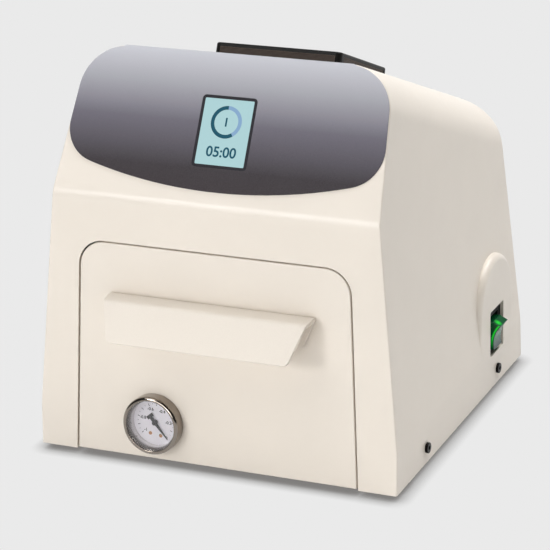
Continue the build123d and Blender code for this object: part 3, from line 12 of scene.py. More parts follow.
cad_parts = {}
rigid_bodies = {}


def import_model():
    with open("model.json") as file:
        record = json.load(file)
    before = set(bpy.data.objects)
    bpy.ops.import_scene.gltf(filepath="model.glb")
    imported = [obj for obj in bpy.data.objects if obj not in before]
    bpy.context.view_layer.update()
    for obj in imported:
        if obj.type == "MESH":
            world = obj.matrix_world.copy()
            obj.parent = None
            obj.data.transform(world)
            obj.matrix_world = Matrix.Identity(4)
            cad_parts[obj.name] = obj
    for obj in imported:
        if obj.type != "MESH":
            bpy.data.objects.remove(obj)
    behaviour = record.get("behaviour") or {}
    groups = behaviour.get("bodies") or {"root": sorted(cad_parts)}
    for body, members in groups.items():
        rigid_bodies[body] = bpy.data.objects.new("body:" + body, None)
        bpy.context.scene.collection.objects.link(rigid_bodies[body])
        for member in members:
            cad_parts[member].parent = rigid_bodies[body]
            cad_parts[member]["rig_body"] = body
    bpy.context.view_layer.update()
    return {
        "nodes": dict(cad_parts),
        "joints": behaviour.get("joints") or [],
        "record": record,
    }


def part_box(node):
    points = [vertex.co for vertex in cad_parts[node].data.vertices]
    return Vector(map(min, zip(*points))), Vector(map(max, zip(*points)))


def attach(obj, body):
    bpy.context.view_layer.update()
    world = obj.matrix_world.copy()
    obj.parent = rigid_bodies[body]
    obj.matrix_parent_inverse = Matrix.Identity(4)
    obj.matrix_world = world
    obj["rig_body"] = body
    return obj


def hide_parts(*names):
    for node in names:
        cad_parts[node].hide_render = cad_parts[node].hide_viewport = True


bl_info = {
    "name": "Light Curing Unit",
    "version": (1, 0, 0),
    "blender": (4, 5, 0),
    "location": "View3D > Sidebar > Curing Unit",
    "description": "Finishes, console, gauge, switch and studio of a bench-top light curing unit",
    "category": "Object",
}

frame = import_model()
nodes = frame["nodes"]
joints = {joint["name"]: joint for joint in frame["joints"]}
mm = 0.001


# ---------------------------------------------------------------- places
def facing(origin, normal):
    """The matrix of a flat place: X across it, Z out of it."""
    out = Vector(normal).normalized()
    across = Vector((1, 0, 0))
    side = (across - across.dot(out) * out).normalized()
    turn = Matrix((side, out.cross(side), out)).transposed()
    return Matrix.Translation(Vector(origin)) @ turn.to_4x4()


def facing_up(matrix):
    """How far a place's own axis leans back from upright."""
    out = matrix.to_3x3() @ Vector((0, 0, 1))
    return math.atan2(out.y, out.z)


def middle(node):
    """The middle of a CAD node's box."""
    low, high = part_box(node)
    return (low + high) / 2


console_lean = math.radians(29.3)
window_thickness = 0.8 * mm
console_out = Vector((0, -math.cos(console_lean), math.sin(console_lean)))
console_place = facing(middle("display_window") + console_out * window_thickness / 2, console_out)
gauge_place = facing(joints["pointer_turn"]["pos_m"], joints["pointer_turn"]["axis"])
fan_place = facing(joints["fan_spin"]["pos_m"], joints["fan_spin"]["axis"])
front_lean = math.radians(3.23)
rocker_tilt = math.radians(14.0)
rocker_face = 10.9 * mm
rocker_hollow = 20.53 * mm


def shade(code):
    """A colour written as #rrggbb, as the linear numbers that a shader takes."""
    steps = [int(code[i : i + 2], 16) / 255 for i in (1, 3, 5)]
    return (*[s / 12.92 if s <= 0.04045 else ((s + 0.055) / 1.055) ** 2.4 for s in steps], 1.0)


# ---------------------------------------------------------------- settings
def setting(kind, read=float, **shared):
    """A kind of setting. What comes back takes a name, a description and a default."""

    def made(name, description, default):
        return kind(name=name, description=description, default=read(default), **shared)

    return made


colour = setting(bpy.props.FloatVectorProperty, shade, size=4, min=0.0, max=1.0, subtype="COLOR")
length = setting(bpy.props.FloatProperty, min=0.0, unit="LENGTH")
share = setting(bpy.props.FloatProperty, min=0.0, max=1.0, subtype="FACTOR")
amount = setting(bpy.props.FloatProperty, min=0.0)
bearing = setting(bpy.props.FloatProperty, math.radians, subtype="ANGLE")


def section(kind, name):
    """A section of the settings."""
    return bpy.props.PointerProperty(type=kind, name=name, description=name)


class HousingSettings(bpy.types.PropertyGroup):
    """The moulded housing and the drawer front."""

    ivory: colour("Ivory", "Colour of the moulded housing", "#ece3d7")
    gloss: share("Roughness", "How matt the moulding is", 0.315)
    grain: length("Grain depth", "Depth of the moulding's fine grain", 0.012 * mm)
    edge: length("Edge rounding", "Rounding of the openings' edges", 0.35 * mm)


class ConsoleSettings(bpy.types.PropertyGroup):
    """The graded film and the display."""

    film_top: colour("Film, top", "Colour at the film's upper edge", "#c6c7ce")
    film_middle: colour("Film, middle", "Colour half way down the film", "#67636f")
    film_low: colour("Film, low", "Colour above the film's lower edge", "#2b2329")
    film_bottom: colour("Film, bottom", "Colour at the film's lower edge", "#2a1f24")
    screen: colour("Screen", "Colour of the lit screen", "#aed3d7")
    marks: colour("Screen marks", "Colour of the digits on the screen", "#005064")
    ring: colour("Screen ring", "Colour of the time ring on the screen", "#86a9cc")
    glow: share("Screen glow", "How much light the screen gives", 0.9)


class GaugeSettings(bpy.types.PropertyGroup):
    """The vacuum gauge."""

    dial: colour("Dial", "Colour of the dial", "#f1eef2")
    ink: colour("Ink", "Colour of the ticks, numbers and pointer", "#1d1a1b")
    dots: colour("Dots", "Colour of the two small dots", "#b9824e")


class SwitchSettings(bpy.types.PropertyGroup):
    """The lit rocker switch."""

    green: colour("Green", "Colour of the rocker", "#08502c")
    lamp: colour("Lamp", "Colour of the light inside the rocker", "#1fe02a")
    glow: amount("Lamp strength", "Strength of the lamp in the rocker", 0.85)


class StudioSettings(bpy.types.PropertyGroup):
    """The floor, the lamps and the camera."""

    background: colour("Background", "Colour of the floor and the backdrop", "#eaeaea")
    room: share("Room light", "Strength of the light from all round", 0.05)
    distance: length("Camera distance", "From the camera to the point it looks at", 1.8544)
    azimuth: bearing("Azimuth", "Camera round the object", 23.547)
    elevation: bearing("Elevation", "Camera above the bench", 19.890)
    roll: bearing("Roll", "Camera's lean to the side", -1.545)


class CuringUnitSettings(bpy.types.PropertyGroup):
    """Everything that a user may change."""

    housing: section(HousingSettings, "Housing")
    console: section(ConsoleSettings, "Console")
    gauge: section(GaugeSettings, "Gauge")
    switch: section(SwitchSettings, "Switch")
    studio: section(StudioSettings, "Studio")


def settings():
    """The scene's settings of this unit."""
    return bpy.context.scene.curing_unit


# ---------------------------------------------------------------- mesh work
weld_reach = 0.002 * mm         # CAD points closer than this are one
seam_reach = 0.0005 * mm        # the same where a turned ring closes
flat_angle = math.radians(0.2)  # CAD faces that bend less than this are one
bar_ease = 0.18                 # a bar's corners, as a share of its breadth
level_share = 0.9               # a level face's normal has at least this along Z


def linked(name, data):
    """A new object in the scene."""
    thing = bpy.data.objects.new(name, data)
    bpy.context.scene.collection.objects.link(thing)
    return thing


def select_only(*objects):
    """Select these objects and nothing else. The last one is active."""
    bpy.ops.object.select_all(action="DESELECT")
    for thing in objects:
        thing.select_set(True)
        bpy.context.view_layer.objects.active = thing


def added(name, operator, **values):
    """A new piece, made by an operator and selected alone."""
    bpy.ops.object.select_all(action="DESELECT")
    operator(**values)
    piece = bpy.context.object
    piece.name = name
    return piece


def edit(piece):
    """Open a piece in edit mode with all of it selected."""
    select_only(piece)
    bpy.ops.object.mode_set(mode="EDIT")
    bpy.ops.mesh.select_mode(type="VERT")
    bpy.ops.mesh.select_all(action="SELECT")


def leave():
    """Leave edit mode."""
    bpy.ops.object.mode_set(mode="OBJECT")


def face_outward():
    """In edit mode, turn every face outward, and leave."""
    bpy.ops.mesh.select_all(action="SELECT")
    bpy.ops.mesh.normals_make_consistent(inside=False)
    leave()


def apply_modifiers(piece):
    """Make a piece's modifiers part of its mesh."""
    select_only(piece)
    for modifier in list(piece.modifiers):
        bpy.ops.object.modifier_apply(modifier=modifier.name)


def place(piece, matrix):
    """Put a piece that was made at the origin in its place, with the place in its mesh."""
    select_only(piece)
    piece.matrix_world = matrix @ piece.matrix_world
    bpy.ops.object.transform_apply(location=True, rotation=True, scale=True)


def smooth(piece, angle=32.0):
    """Shade a piece smooth up to an angle, with its flat faces kept flat."""
    select_only(piece)
    bpy.ops.object.shade_smooth_by_angle(angle=math.radians(angle))
    weigh = piece.modifiers.new("flat faces", "WEIGHTED_NORMAL")
    weigh.mode = "FACE_AREA"
    weigh.weight = 100
    weigh.keep_sharp = True
    apply_modifiers(piece)


def round_edges(piece, width, segments=2, angle=30.0):
    """Round a piece's sharp edges."""
    bevel = piece.modifiers.new("rounded edges", "BEVEL")
    bevel.width = width
    bevel.segments = segments
    bevel.limit_method = "ANGLE"
    bevel.angle_limit = math.radians(angle)
    bevel.use_clamp_overlap = True
    bevel.miter_outer = "MITER_ARC"
    apply_modifiers(piece)


def copy_of(node, name):
    """A CAD node's shape as a new piece, merged, with its flat faces made whole."""
    piece = linked(name, nodes[node].data.copy())
    piece.data.name = name
    piece.data.materials.clear()
    edit(piece)
    bpy.ops.mesh.customdata_custom_splitnormals_clear()
    bpy.ops.mesh.remove_doubles(threshold=weld_reach)
    bpy.ops.mesh.dissolve_limited(angle_limit=flat_angle)
    leave()
    return piece


def seat(piece, body, slot, finish, *stands_for):
    """Give a finished piece its finish, its body and the CAD nodes that it stands for."""
    piece.data.materials.clear()
    piece.data.materials.append(finish_of(finish))
    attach(piece, body)
    if stands_for:
        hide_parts(*stands_for)


def join(name, pieces):
    """Join several pieces into one."""
    select_only(*pieces)
    bpy.ops.object.join()
    whole = bpy.context.object
    whole.name = name
    whole.data.name = name
    return whole


def pull(step, scale, centre):
    """In edit mode, extrude the selected edges by a step and scale them about a centre."""
    bpy.ops.mesh.extrude_edges_move(TRANSFORM_OT_translate={"value": step})
    bpy.ops.transform.resize(value=scale, center_override=centre)


def turned(name, rings, sides=96):
    """A ring turned round Z: its section goes through these (radius, height) points and closes."""
    radius, height = rings[0]
    circle = bpy.ops.mesh.primitive_circle_add
    piece = added(name, circle, vertices=sides, radius=radius, location=(0, 0, height))
    edit(piece)
    for next_radius, next_height in rings[1:]:
        factor = next_radius / radius
        pull((0, 0, next_height - height), (factor, factor, 1), (0, 0, next_height))
        radius, height = next_radius, next_height
    bpy.ops.mesh.select_all(action="SELECT")
    bpy.ops.mesh.remove_doubles(threshold=seam_reach)
    face_outward()
    return piece


def quarter(steps):
    """The sine and cosine of each step of a quarter turn."""
    turns = [math.radians(90 * k / steps) for k in range(steps + 1)]
    return [(math.sin(turn), math.cos(turn)) for turn in turns]


mesh_lists = {"FACE": "polygons", "VERT": "vertices"}


def choose(piece, kind, test):
    """In edit mode, select the faces or points that pass a test and no others."""
    bpy.ops.mesh.select_mode(type=kind)
    bpy.ops.mesh.select_all(action="DESELECT")
    leave()
    for element in getattr(piece.data, mesh_lists[kind]):
        element.select = test(element)
    bpy.ops.object.mode_set(mode="EDIT")


def sized(name, operator, *size):
    """A plane or a cube of this size round the origin, open in edit mode."""
    piece = added(name, operator, size=1)
    piece.scale = size
    bpy.ops.object.transform_apply(scale=True)
    edit(piece)
    return piece


def plate(name, size, corner, thickness):
    """A flat plate with round corners, from Z = 0 up."""
    piece = sized(name, bpy.ops.mesh.primitive_plane_add, *size, 1)
    bpy.ops.mesh.bevel(offset=corner, segments=8, affect="VERTICES")
    bpy.ops.mesh.select_all(action="SELECT")
    bpy.ops.mesh.extrude_region_move(TRANSFORM_OT_translate={"value": (0, 0, thickness)})
    face_outward()
    return piece


def bar(name, width, height, thickness, x=0.0, turn=0.0):
    """A small flat bar in the XY plane, turned about the origin, with eased corners."""
    piece = sized(name, bpy.ops.mesh.primitive_cube_add, width, height, thickness)
    bpy.ops.mesh.bevel(offset=min(width, height) * bar_ease, segments=2, affect="EDGES")
    leave()
    place(piece, Matrix.Rotation(turn, 4, "Z") @ Matrix.Translation((x, 0, 0)))
    return piece


def band(name, inner, outer, thickness, start, end):
    """A flat ring in the XY plane that runs from one angle to another, in degrees."""

    def past_end(face):
        """Whether a face lies outside the band's sweep."""
        turn = math.degrees(math.atan2(face.center.y, face.center.x))
        return (turn - start) % 360 > end - start

    rings = [(outer, 0), (outer, thickness), (inner, thickness), (inner, 0), (outer, 0)]
    piece = turned(name, rings)
    edit(piece)
    choose(piece, "FACE", past_end)
    bpy.ops.mesh.delete(type="FACE")
    bpy.ops.mesh.select_all(action="SELECT")
    bpy.ops.mesh.fill_holes(sides=8)
    face_outward()
    return piece


def lettering(name, text, size, centre, thickness, weight):
    """Plain figures as a thin raised mesh in the XY plane, bolder by a weight."""
    piece = added(name, bpy.ops.object.text_add, location=(*centre, 0))
    piece.data.body = text
    piece.data.align_x = "CENTER"
    piece.data.align_y = "CENTER"
    piece.data.size = size
    piece.data.offset = size * weight
    piece.data.extrude = thickness / 2
    piece.data.resolution_u = 6
    bpy.ops.object.convert(target="MESH")
    piece = bpy.context.object
    bpy.ops.object.transform_apply(location=True, rotation=True, scale=True)
    return piece


# ---------------------------------------------------------------- finishes
class Nodes:
    """A node tree, built up one node at a time."""

    def __init__(self, tree):
        self.tree = tree

    def node(self, kind, inputs=None, **properties):
        """A new node. Inputs are values, or sockets to link from."""
        node = self.tree.nodes.new("ShaderNode" + kind)
        for key, value in properties.items():
            setattr(node, key, value)
        for key, value in (inputs or {}).items():
            if isinstance(value, bpy.types.NodeSocket):
                self.tree.links.new(value, node.inputs[key])
            else:
                node.inputs[key].default_value = value
        return node

    def combine(self, operation, *numbers):
        """One operation on one or two numbers."""
        return self.node("Math", dict(enumerate(numbers)), operation=operation).outputs[0]

    def between(self, source, low, high, from_low=0.3, from_high=0.7):
        """A number carried from one range to another."""
        ends = {"From Min": from_low, "From Max": from_high, "To Min": low, "To Max": high}
        return self.node("MapRange", {"Value": source, **ends}).outputs["Result"]

    def blend(self, factor, first, second):
        """Two colours blended."""
        return self.node("Mix", {0: factor, 6: first, 7: second}, data_type="RGBA").outputs[2]

    def ramp(self, source, stops):
        """A colour ramp with (place, colour) stops."""
        node = self.node("ValToRGB", {"Fac": source})
        elements = node.color_ramp.elements
        while len(elements) < len(stops):
            elements.new(0.5)
        for element, (position, color) in zip(elements, stops):
            element.position = position
            element.color = color
        return node.outputs["Color"]


class Finish(Nodes):
    """A material's nodes, round its shader."""

    def __init__(self, name, **values):
        self.material = bpy.data.materials.new(name)
        self.material.use_nodes = True
        super().__init__(self.material.node_tree)
        self.shader = self.tree.nodes["Principled BSDF"]
        self.output = self.tree.nodes["Material Output"]
        self.coordinates = self.node("TexCoord").outputs["Object"]
        for socket, value in values.items():
            self.shader.inputs[socket.replace("_", " ")].default_value = value

    def link(self, source, target):
        """Feed a shader's socket."""
        self.tree.links.new(source, self.shader.inputs[target])

    def stretched(self, scale=(1, 1, 1), turn=(0, 0, 0)):
        """Object coordinates, turned and stretched."""
        inputs = {"Vector": self.coordinates, "Scale": scale, "Rotation": turn}
        return self.node("Mapping", inputs).outputs["Vector"]

    def along(self, axis, start):
        """How far each point lies from a start, along an axis."""
        inputs = {0: self.coordinates, 1: start}
        moved = self.node("VectorMath", inputs, operation="SUBTRACT").outputs[0]
        return self.node("VectorMath", {0: moved, 1: axis}, operation="DOT_PRODUCT").outputs["Value"]

    def noise(self, size, detail=3.0, rough=0.5, vector=None):
        """Noise whose blotches are about this size."""
        inputs = {"Scale": 1 / size, "Detail": detail, "Roughness": rough}
        return self.node("TexNoise", {"Vector": vector or self.coordinates, **inputs}).outputs["Fac"]

    def vary(self, pattern, base, dark, light, target="Base Color"):
        """Colour the surface by a pattern, between two shades of a colour."""
        self.link(self.blend(pattern, tone(base, dark), tone(base, light)), target)

    def soften(self, pattern, roughness, less, more):
        """Vary the roughness by a pattern, to either side."""
        self.link(self.between(pattern, roughness - less, roughness + more), "Roughness")

    def bump(self, height, depth, strength=1.0):
        """Raise the surface by a pattern. Depth is in metres."""
        inputs = {"Height": height, "Distance": depth, "Strength": strength}
        self.link(self.node("Bump", inputs).outputs["Normal"], "Normal")


def tone(base, factor):
    """A colour made lighter or darker."""
    return (*[min(1.0, c * factor) for c in base[:3]], 1.0)


def moulded(name, base, roughness, grain_size, grain_depth, mottle, **values):
    """Moulded plastic: fine spark-eroded grain, and a slight unevenness of colour and gloss."""
    finish = Finish(name, Roughness=roughness, **values)
    cloud = finish.between(finish.noise(45 * mm, 2.0), 0, 1)
    finish.vary(cloud, base, 1 - mottle, 1 + mottle)
    finish.soften(finish.noise(7 * mm, 4.0), roughness, 0.035, 0.035)
    finish.bump(finish.noise(grain_size, 4.0, 0.6), grain_depth)
    return finish.material


def coated(name, base, roughness, peel_size, peel_depth, **values):
    """Powder coat: slightly orange-peeled, with a fine speckle."""
    finish = Finish(name, Roughness=roughness, **values)
    speckle = finish.between(finish.noise(0.7 * mm, 2.0), 0, 1)
    finish.vary(speckle, base, 0.985, 1.015)
    finish.soften(finish.noise(9 * mm), roughness, 0.03, 0.03)
    finish.bump(finish.noise(peel_size, 2.0), peel_depth)
    return finish.material


def metal(name, base, roughness, grain, brushed=0.02 * mm, spots=0.0):
    """Metal sheet: brushed or rolled lines along one axis, with cloudy gloss."""
    finish = Finish(name, Metallic=1.0, Roughness=roughness)
    cloud = finish.between(finish.noise(22 * mm, 4.0, 0.6), 0, 1)
    finish.vary(cloud, base, 0.92 - spots, 1.04)
    lines = finish.noise(0.35 * mm, 3.0, 0.7, finish.stretched(grain))
    finish.soften(lines, roughness, 0.07, 0.1)
    finish.bump(lines, brushed, 0.5)
    return finish.material


def polished(name, base, roughness):
    """Buffed metal: smooth, with faint wipe marks in its gloss."""
    finish = Finish(name, Metallic=1.0, Roughness=roughness)
    cloud = finish.between(finish.noise(9 * mm, 3.0, 0.6), 0, 1)
    finish.vary(cloud, base, 0.95, 1.05)
    finish.soften(finish.noise(3 * mm, 4.0), roughness, 0.02, 0.03)
    return finish.material


def wall_with_painted_shade(name, dark, light, roughness, well, low, high):
    """Turned metal at the bottom of a well, with painted shade: painted bright at the foot, painted
    dark under the glass, in place of the bore's reflections.
    """
    finish = Finish(name, Metallic=1.0, Roughness=roughness)
    height = finish.along(well.to_3x3() @ Vector((0, 0, 1)), well.translation)
    depth = finish.between(height, 0, 1, low, high)
    # painted shade and reflection: the colour runs from light near the dial to dark under the glass
    stops = [(0.0, light), (0.35, light), (0.8, dark), (1.0, dark)]
    finish.link(finish.ramp(depth, stops), "Base Color")
    finish.soften(finish.noise(3 * mm, 4.0), roughness, 0.02, 0.02)
    return finish.material


along_x = (0.02, 1, 1)
along_y = (1, 0.02, 1)
along_z = (1, 1, 0.02)


def woven(name, thread, gap, pitch, lean):
    """A fine cloth-like mesh of dull plastic threads, square to a sloping surface."""
    finish = Finish(name, Roughness=0.6, Specular_IOR_Level=0.3)
    parts = finish.node("SeparateXYZ", {"Vector": finish.stretched(turn=(lean, 0, 0))})
    waves = []
    for axis in ("X", "Y", "Z"):
        turn = finish.combine("MULTIPLY", parts.outputs[axis], math.tau / pitch)
        waves.append(finish.combine("SINE", turn))
    cloth = finish.combine("MAXIMUM", finish.combine("ADD", waves[0], waves[1]), waves[2])
    threads = finish.between(cloth, 0, 1, -0.6, 0.9)
    cloud = finish.between(finish.noise(4 * mm), 0.75, 1.0)
    finish.link(finish.blend(finish.combine("MULTIPLY", threads, cloud), gap, thread), "Base Color")
    finish.link(finish.between(threads, 0.75, 0.5, 0, 1), "Roughness")
    finish.bump(threads, 0.15 * mm, 0.7)
    return finish.material


def rubbery(name, base, roughness, **values):
    """Rubber or silicone: a soft dusty surface."""
    finish = Finish(name, Roughness=roughness, **values)
    dust = finish.noise(2.2 * mm, 5.0, 0.65)
    finish.vary(finish.between(dust, 0, 1), base, 0.86, 1.12)
    finish.soften(dust, roughness, 0.06, 0.08)
    finish.bump(finish.noise(0.6 * mm), 0.02 * mm)
    return finish.material


def clear(name, tint):
    """Glass, with faint wipe marks in its gloss."""
    finish = Finish(name, Transmission_Weight=1.0, IOR=1.5, Base_Color=tint, Roughness=0.0)
    wipes = finish.noise(14 * mm, 5.0, 0.7, finish.stretched((1, 0.3, 1)))
    finish.soften(wipes, 0.0, 0.0, 0.05)
    return finish.material


def board(name, base, track):
    """A circuit board: solder mask over a maze of fine tracks."""
    finish = Finish(name, Roughness=0.35)
    inputs = {
        "Vector": finish.coordinates,
        "Scale": 1 / (9 * mm),
        "Mortar Size": 0.035,
        "Mortar Smooth": 0.0,
        "Color1": tone(base, 0.9),
        "Color2": tone(base, 1.1),
        "Mortar": track,
    }
    maze = finish.node("TexBrick", inputs)
    finish.link(maze.outputs["Color"], "Base Color")
    finish.bump(maze.outputs["Fac"], 0.03 * mm, 0.6)
    return finish.material


def graded_film(name, look, low_z, high_z):
    """The console's printed film: graded from light grey at the top to dark plum at the bottom."""
    finish = Finish(name, Roughness=0.42, Specular_IOR_Level=0.3)
    height = finish.node("SeparateXYZ", {"Vector": finish.coordinates}).outputs["Z"]
    share_up = finish.between(height, 0, 1, low_z, high_z)
    tints = (look.film_bottom, look.film_low, look.film_middle, look.film_top)
    stops = [(up, tuple(tint)) for up, tint in zip((0.0, 0.16, 0.5, 1.0), tints)]
    printed = finish.ramp(share_up, stops)
    speckle = finish.between(finish.noise(0.5 * mm, 2.0), 0.0, 0.02)
    finish.link(finish.blend(speckle, printed, (1, 1, 1, 1)), "Base Color")
    finish.soften(finish.noise(16 * mm), 0.42, 0.04, 0.04)
    finish.bump(finish.noise(0.4 * mm, 2.0), 0.006 * mm)
    return finish.material


def lit(name, base, glow):
    """A lit picture element: plain light of its own over a satin face."""
    finish = Finish(name, Roughness=0.4, Specular_IOR_Level=0.2, Emission_Strength=glow)
    inputs = {"Vector": finish.coordinates, "Scale": 1 / (2.4 * mm)}
    rows = finish.node("TexWave", inputs, bands_direction="Z").outputs["Fac"]
    finish.vary(rows, base, 0.985, 1.015, "Emission Color")
    finish.vary(rows, base, 0.06, 0.08)
    return finish.material


def rocker_green(name, look, pivot):
    """Translucent green plastic with painted glow and shade: the lamp inside is painted as a glowing
    spot at the top end and a glowing streak along the hollow's near edge, and the hollow's face is
    painted green in the middle and grey towards its ends.
    """
    glow_depth = 8 * mm
    near_side = (8.3 * mm, 8.9 * mm)
    low_end = (-9 * mm, 0)
    lamp_out, lamp_up, lamp_near = 9.6 * mm, 10.9 * mm, 4.2 * mm
    lamp_reach = (0.8 * mm, 3.8 * mm)
    dish = (1 * mm, 7 * mm)
    black, white = (0, 0, 0, 1), (1, 1, 1, 1)
    finish = Finish(name, Roughness=0.25, Specular_IOR_Level=0.3, Emission_Strength=look.glow)
    out = Vector((math.cos(rocker_tilt), 0, -math.sin(rocker_tilt)))
    up = Vector((math.sin(rocker_tilt), 0, math.cos(rocker_tilt)))
    near = Vector((0, -1, 0))

    # Painted glow: an emissive streak along the hollow's near edge, fading towards the low end, and a
    # spot near the top end, for the lamp's light seen through the plastic.
    centre = pivot + out * (rocker_face + rocker_hollow)
    ahead, height = finish.along(out, centre), finish.along(up, centre)
    squares = [finish.combine("MULTIPLY", side, side) for side in (ahead, height)]
    reach = finish.combine("SQRT", finish.combine("ADD", *squares))
    deep = finish.between(reach, 0, 1, rocker_hollow, rocker_hollow + glow_depth)
    beside = finish.between(finish.along(near, pivot), 0, 1, *near_side)
    edge = finish.ramp(deep, [(0.07, black), (0.17, white), (0.3, black)])
    painted_glow_streak = finish.combine("MULTIPLY", edge, beside)
    painted_glow_streak = finish.combine("MULTIPLY", painted_glow_streak, finish.between(height, 0, 1, *low_end))
    spot = pivot + out * lamp_out + up * lamp_up + near * lamp_near
    inputs = {0: finish.coordinates, 1: spot}
    away = finish.node("VectorMath", inputs, operation="DISTANCE").outputs["Value"]
    lamp = finish.combine("MAXIMUM", painted_glow_streak, finish.between(away, 1, 0, *lamp_reach))
    finish.link(finish.blend(lamp, tone(look.green, 0.12), tuple(look.lamp)), "Emission Color")

    # Painted glow and shade on the hollow's face: green in the middle, grey towards its ends.
    on_face = finish.between(deep, 1, 0, 0.03, 0.09)
    painted_glow_middle = finish.between(finish.combine("ABSOLUTE", height), 0.75, 0, *dish)
    face = finish.blend(painted_glow_middle, shade("#4a595a"), shade("#17805a"))
    finish.link(finish.blend(on_face, tuple(look.green), face), "Base Color")
    finish.bump(finish.noise(0.5 * mm), 0.006 * mm)
    return finish.material


def make_finishes():
    """All the finishes, by the record's slot name."""
    look = settings()
    ivory = tuple(look.housing.ivory)
    ink = tuple(look.gauge.ink)
    glow = look.console.glow
    film_low, film_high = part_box("console_overlay")
    pivot = Vector(joints["rocker_tip"]["pos_m"])
    return {
        "ivory_plastic": moulded(
            "ivory plastic", ivory, look.housing.gloss, 0.45 * mm, look.housing.grain, 0.012
        ),
        "ivory_paint": coated("ivory powder coat", ivory, 0.34, 1.3 * mm, 0.02 * mm),
        "graded_film": graded_film("graded film", look.console, film_low.z, film_high.z),
        "clear_lens": clear("clear lens", (1.0, 0.99, 1.0, 1.0)),
        "lit_panel": lit("lit panel", tuple(look.console.screen), glow),
        "green_board": board("green circuit board", shade("#0d5a2c"), shade("#2f8f55")),
        "lit_board": board("white lamp board", shade("#e6e6e2"), shade("#c9c2b0")),
        "black_plastic": moulded(
            "black plastic", shade("#0b0a09"), 0.45, 0.5 * mm, 0.02 * mm, 0.08, Specular_IOR_Level=0.25
        ),
        "switch_black": moulded(
            "switch black", shade("#070606"), 0.55, 0.5 * mm, 0.01 * mm, 0.08, Specular_IOR_Level=0.12
        ),
        "guard_mesh": woven(
            "guard mesh", shade("#50453f"), shade("#221c1a"), 0.9 * mm, facing_up(fan_place)
        ),
        "filter_foam": rubbery("filter foam", shade("#2b2b2d"), 0.9),
        "zinc_steel": metal("zinc plated steel", shade("#b9bcc0"), 0.32, along_x, 0.01 * mm, 0.06),
        "chamber_aluminium": metal("bright aluminium", shade("#dcdee0"), 0.22, along_y),
        "clear_glass": clear("clear glass", (0.93, 0.98, 0.96, 1.0)),
        "silicone": rubbery(
            "silicone", shade("#c9c6bf"), 0.45, Subsurface_Weight=0.3, Subsurface_Scale=4 * mm
        ),
        "black_rubber": rubbery("black rubber", shade("#1f1f1f"), 0.7),
        "black_screw": metal("black oxide", shade("#1d1b1a"), 0.38, along_z),
        "bright_screw": metal("bright zinc", shade("#c4c6c8"), 0.25, along_z),
        "polished_steel": polished("polished steel", shade("#968d84"), 0.07),
        # The spacer ring's bore: painted shade, from light at the dial to dark under the glass.
        "gauge_wall_painted_shade": wall_with_painted_shade(
            "turned steel", shade("#77736f"), shade("#dad8d6"), 0.08, gauge_place, 1 * mm, 7 * mm
        ),
        "cast_aluminium": metal("extruded aluminium", shade("#c3c6c9"), 0.35, along_y),
        "brass": metal("turned brass", shade("#d0a856"), 0.28, along_z),
        "dial_white": coated("dial white", tuple(look.gauge.dial), 0.4, 0.8 * mm, 0.004 * mm),
        "pointer_grey": coated("pointer grey", ink, 0.4, 0.5 * mm, 0.004 * mm),
        # The rocker: painted glow along the hollow's edge and at the top end, painted shade at the
        # face's ends.
        "rocker_green": rocker_green("lit green", look.switch, pivot),
        "screen_border": coated(
            "screen border", shade("#1c1a22"), 0.4, 0.6 * mm, 0.003 * mm, Specular_IOR_Level=0.25
        ),
        "screen_marks": lit("screen marks", tuple(look.console.marks), glow),
        "screen_ring": lit("screen ring", tuple(look.console.ring), glow),
        "dial_ink": coated("dial ink", ink, 0.5, 0.4 * mm, 0.002 * mm),
        "dial_dots": coated("dial dots", tuple(look.gauge.dots), 0.5, 0.4 * mm, 0.002 * mm),
        "mirror_glass": metal("mirror", shade("#eef0f1"), 0.03, along_x, 0.0),
        "tray_steel": metal("brushed stainless", shade("#d2d3d4"), 0.28, along_x, 0.03 * mm),
    }


finishes = {}


def finish_of(slot):
    """The finish of a slot, made with the rest when the first is asked for."""
    if not finishes:
        finishes.update(make_finishes())
    return finishes[slot]


slots = {entry["node"]: entry["material_slot"] for entry in frame["record"]["subparts"]}


def redone(node, name, rounding, segments=2, angle=30.0, finish=None):
    """A CAD node made again as a piece with rounded edges and smooth faces."""
    piece = copy_of(node, name)
    round_edges(piece, rounding, segments, angle)
    smooth(piece)
    seat(piece, nodes[node]["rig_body"], slots[node], finish or slots[node], node)
    return piece


# ---------------------------------------------------------------- operators
class CURING_OT_finishes(bpy.types.Operator):
    """Give every CAD node its finish"""

    bl_idname = "curing_unit.finishes"
    bl_label = "Finishes"

    def execute(self, context):
        for name, node in nodes.items():
            if not node.material_slots:
                node.data.materials.append(None)
            for slot in node.material_slots:
                slot.material = finish_of(slots[name])
        return {"FINISHED"}


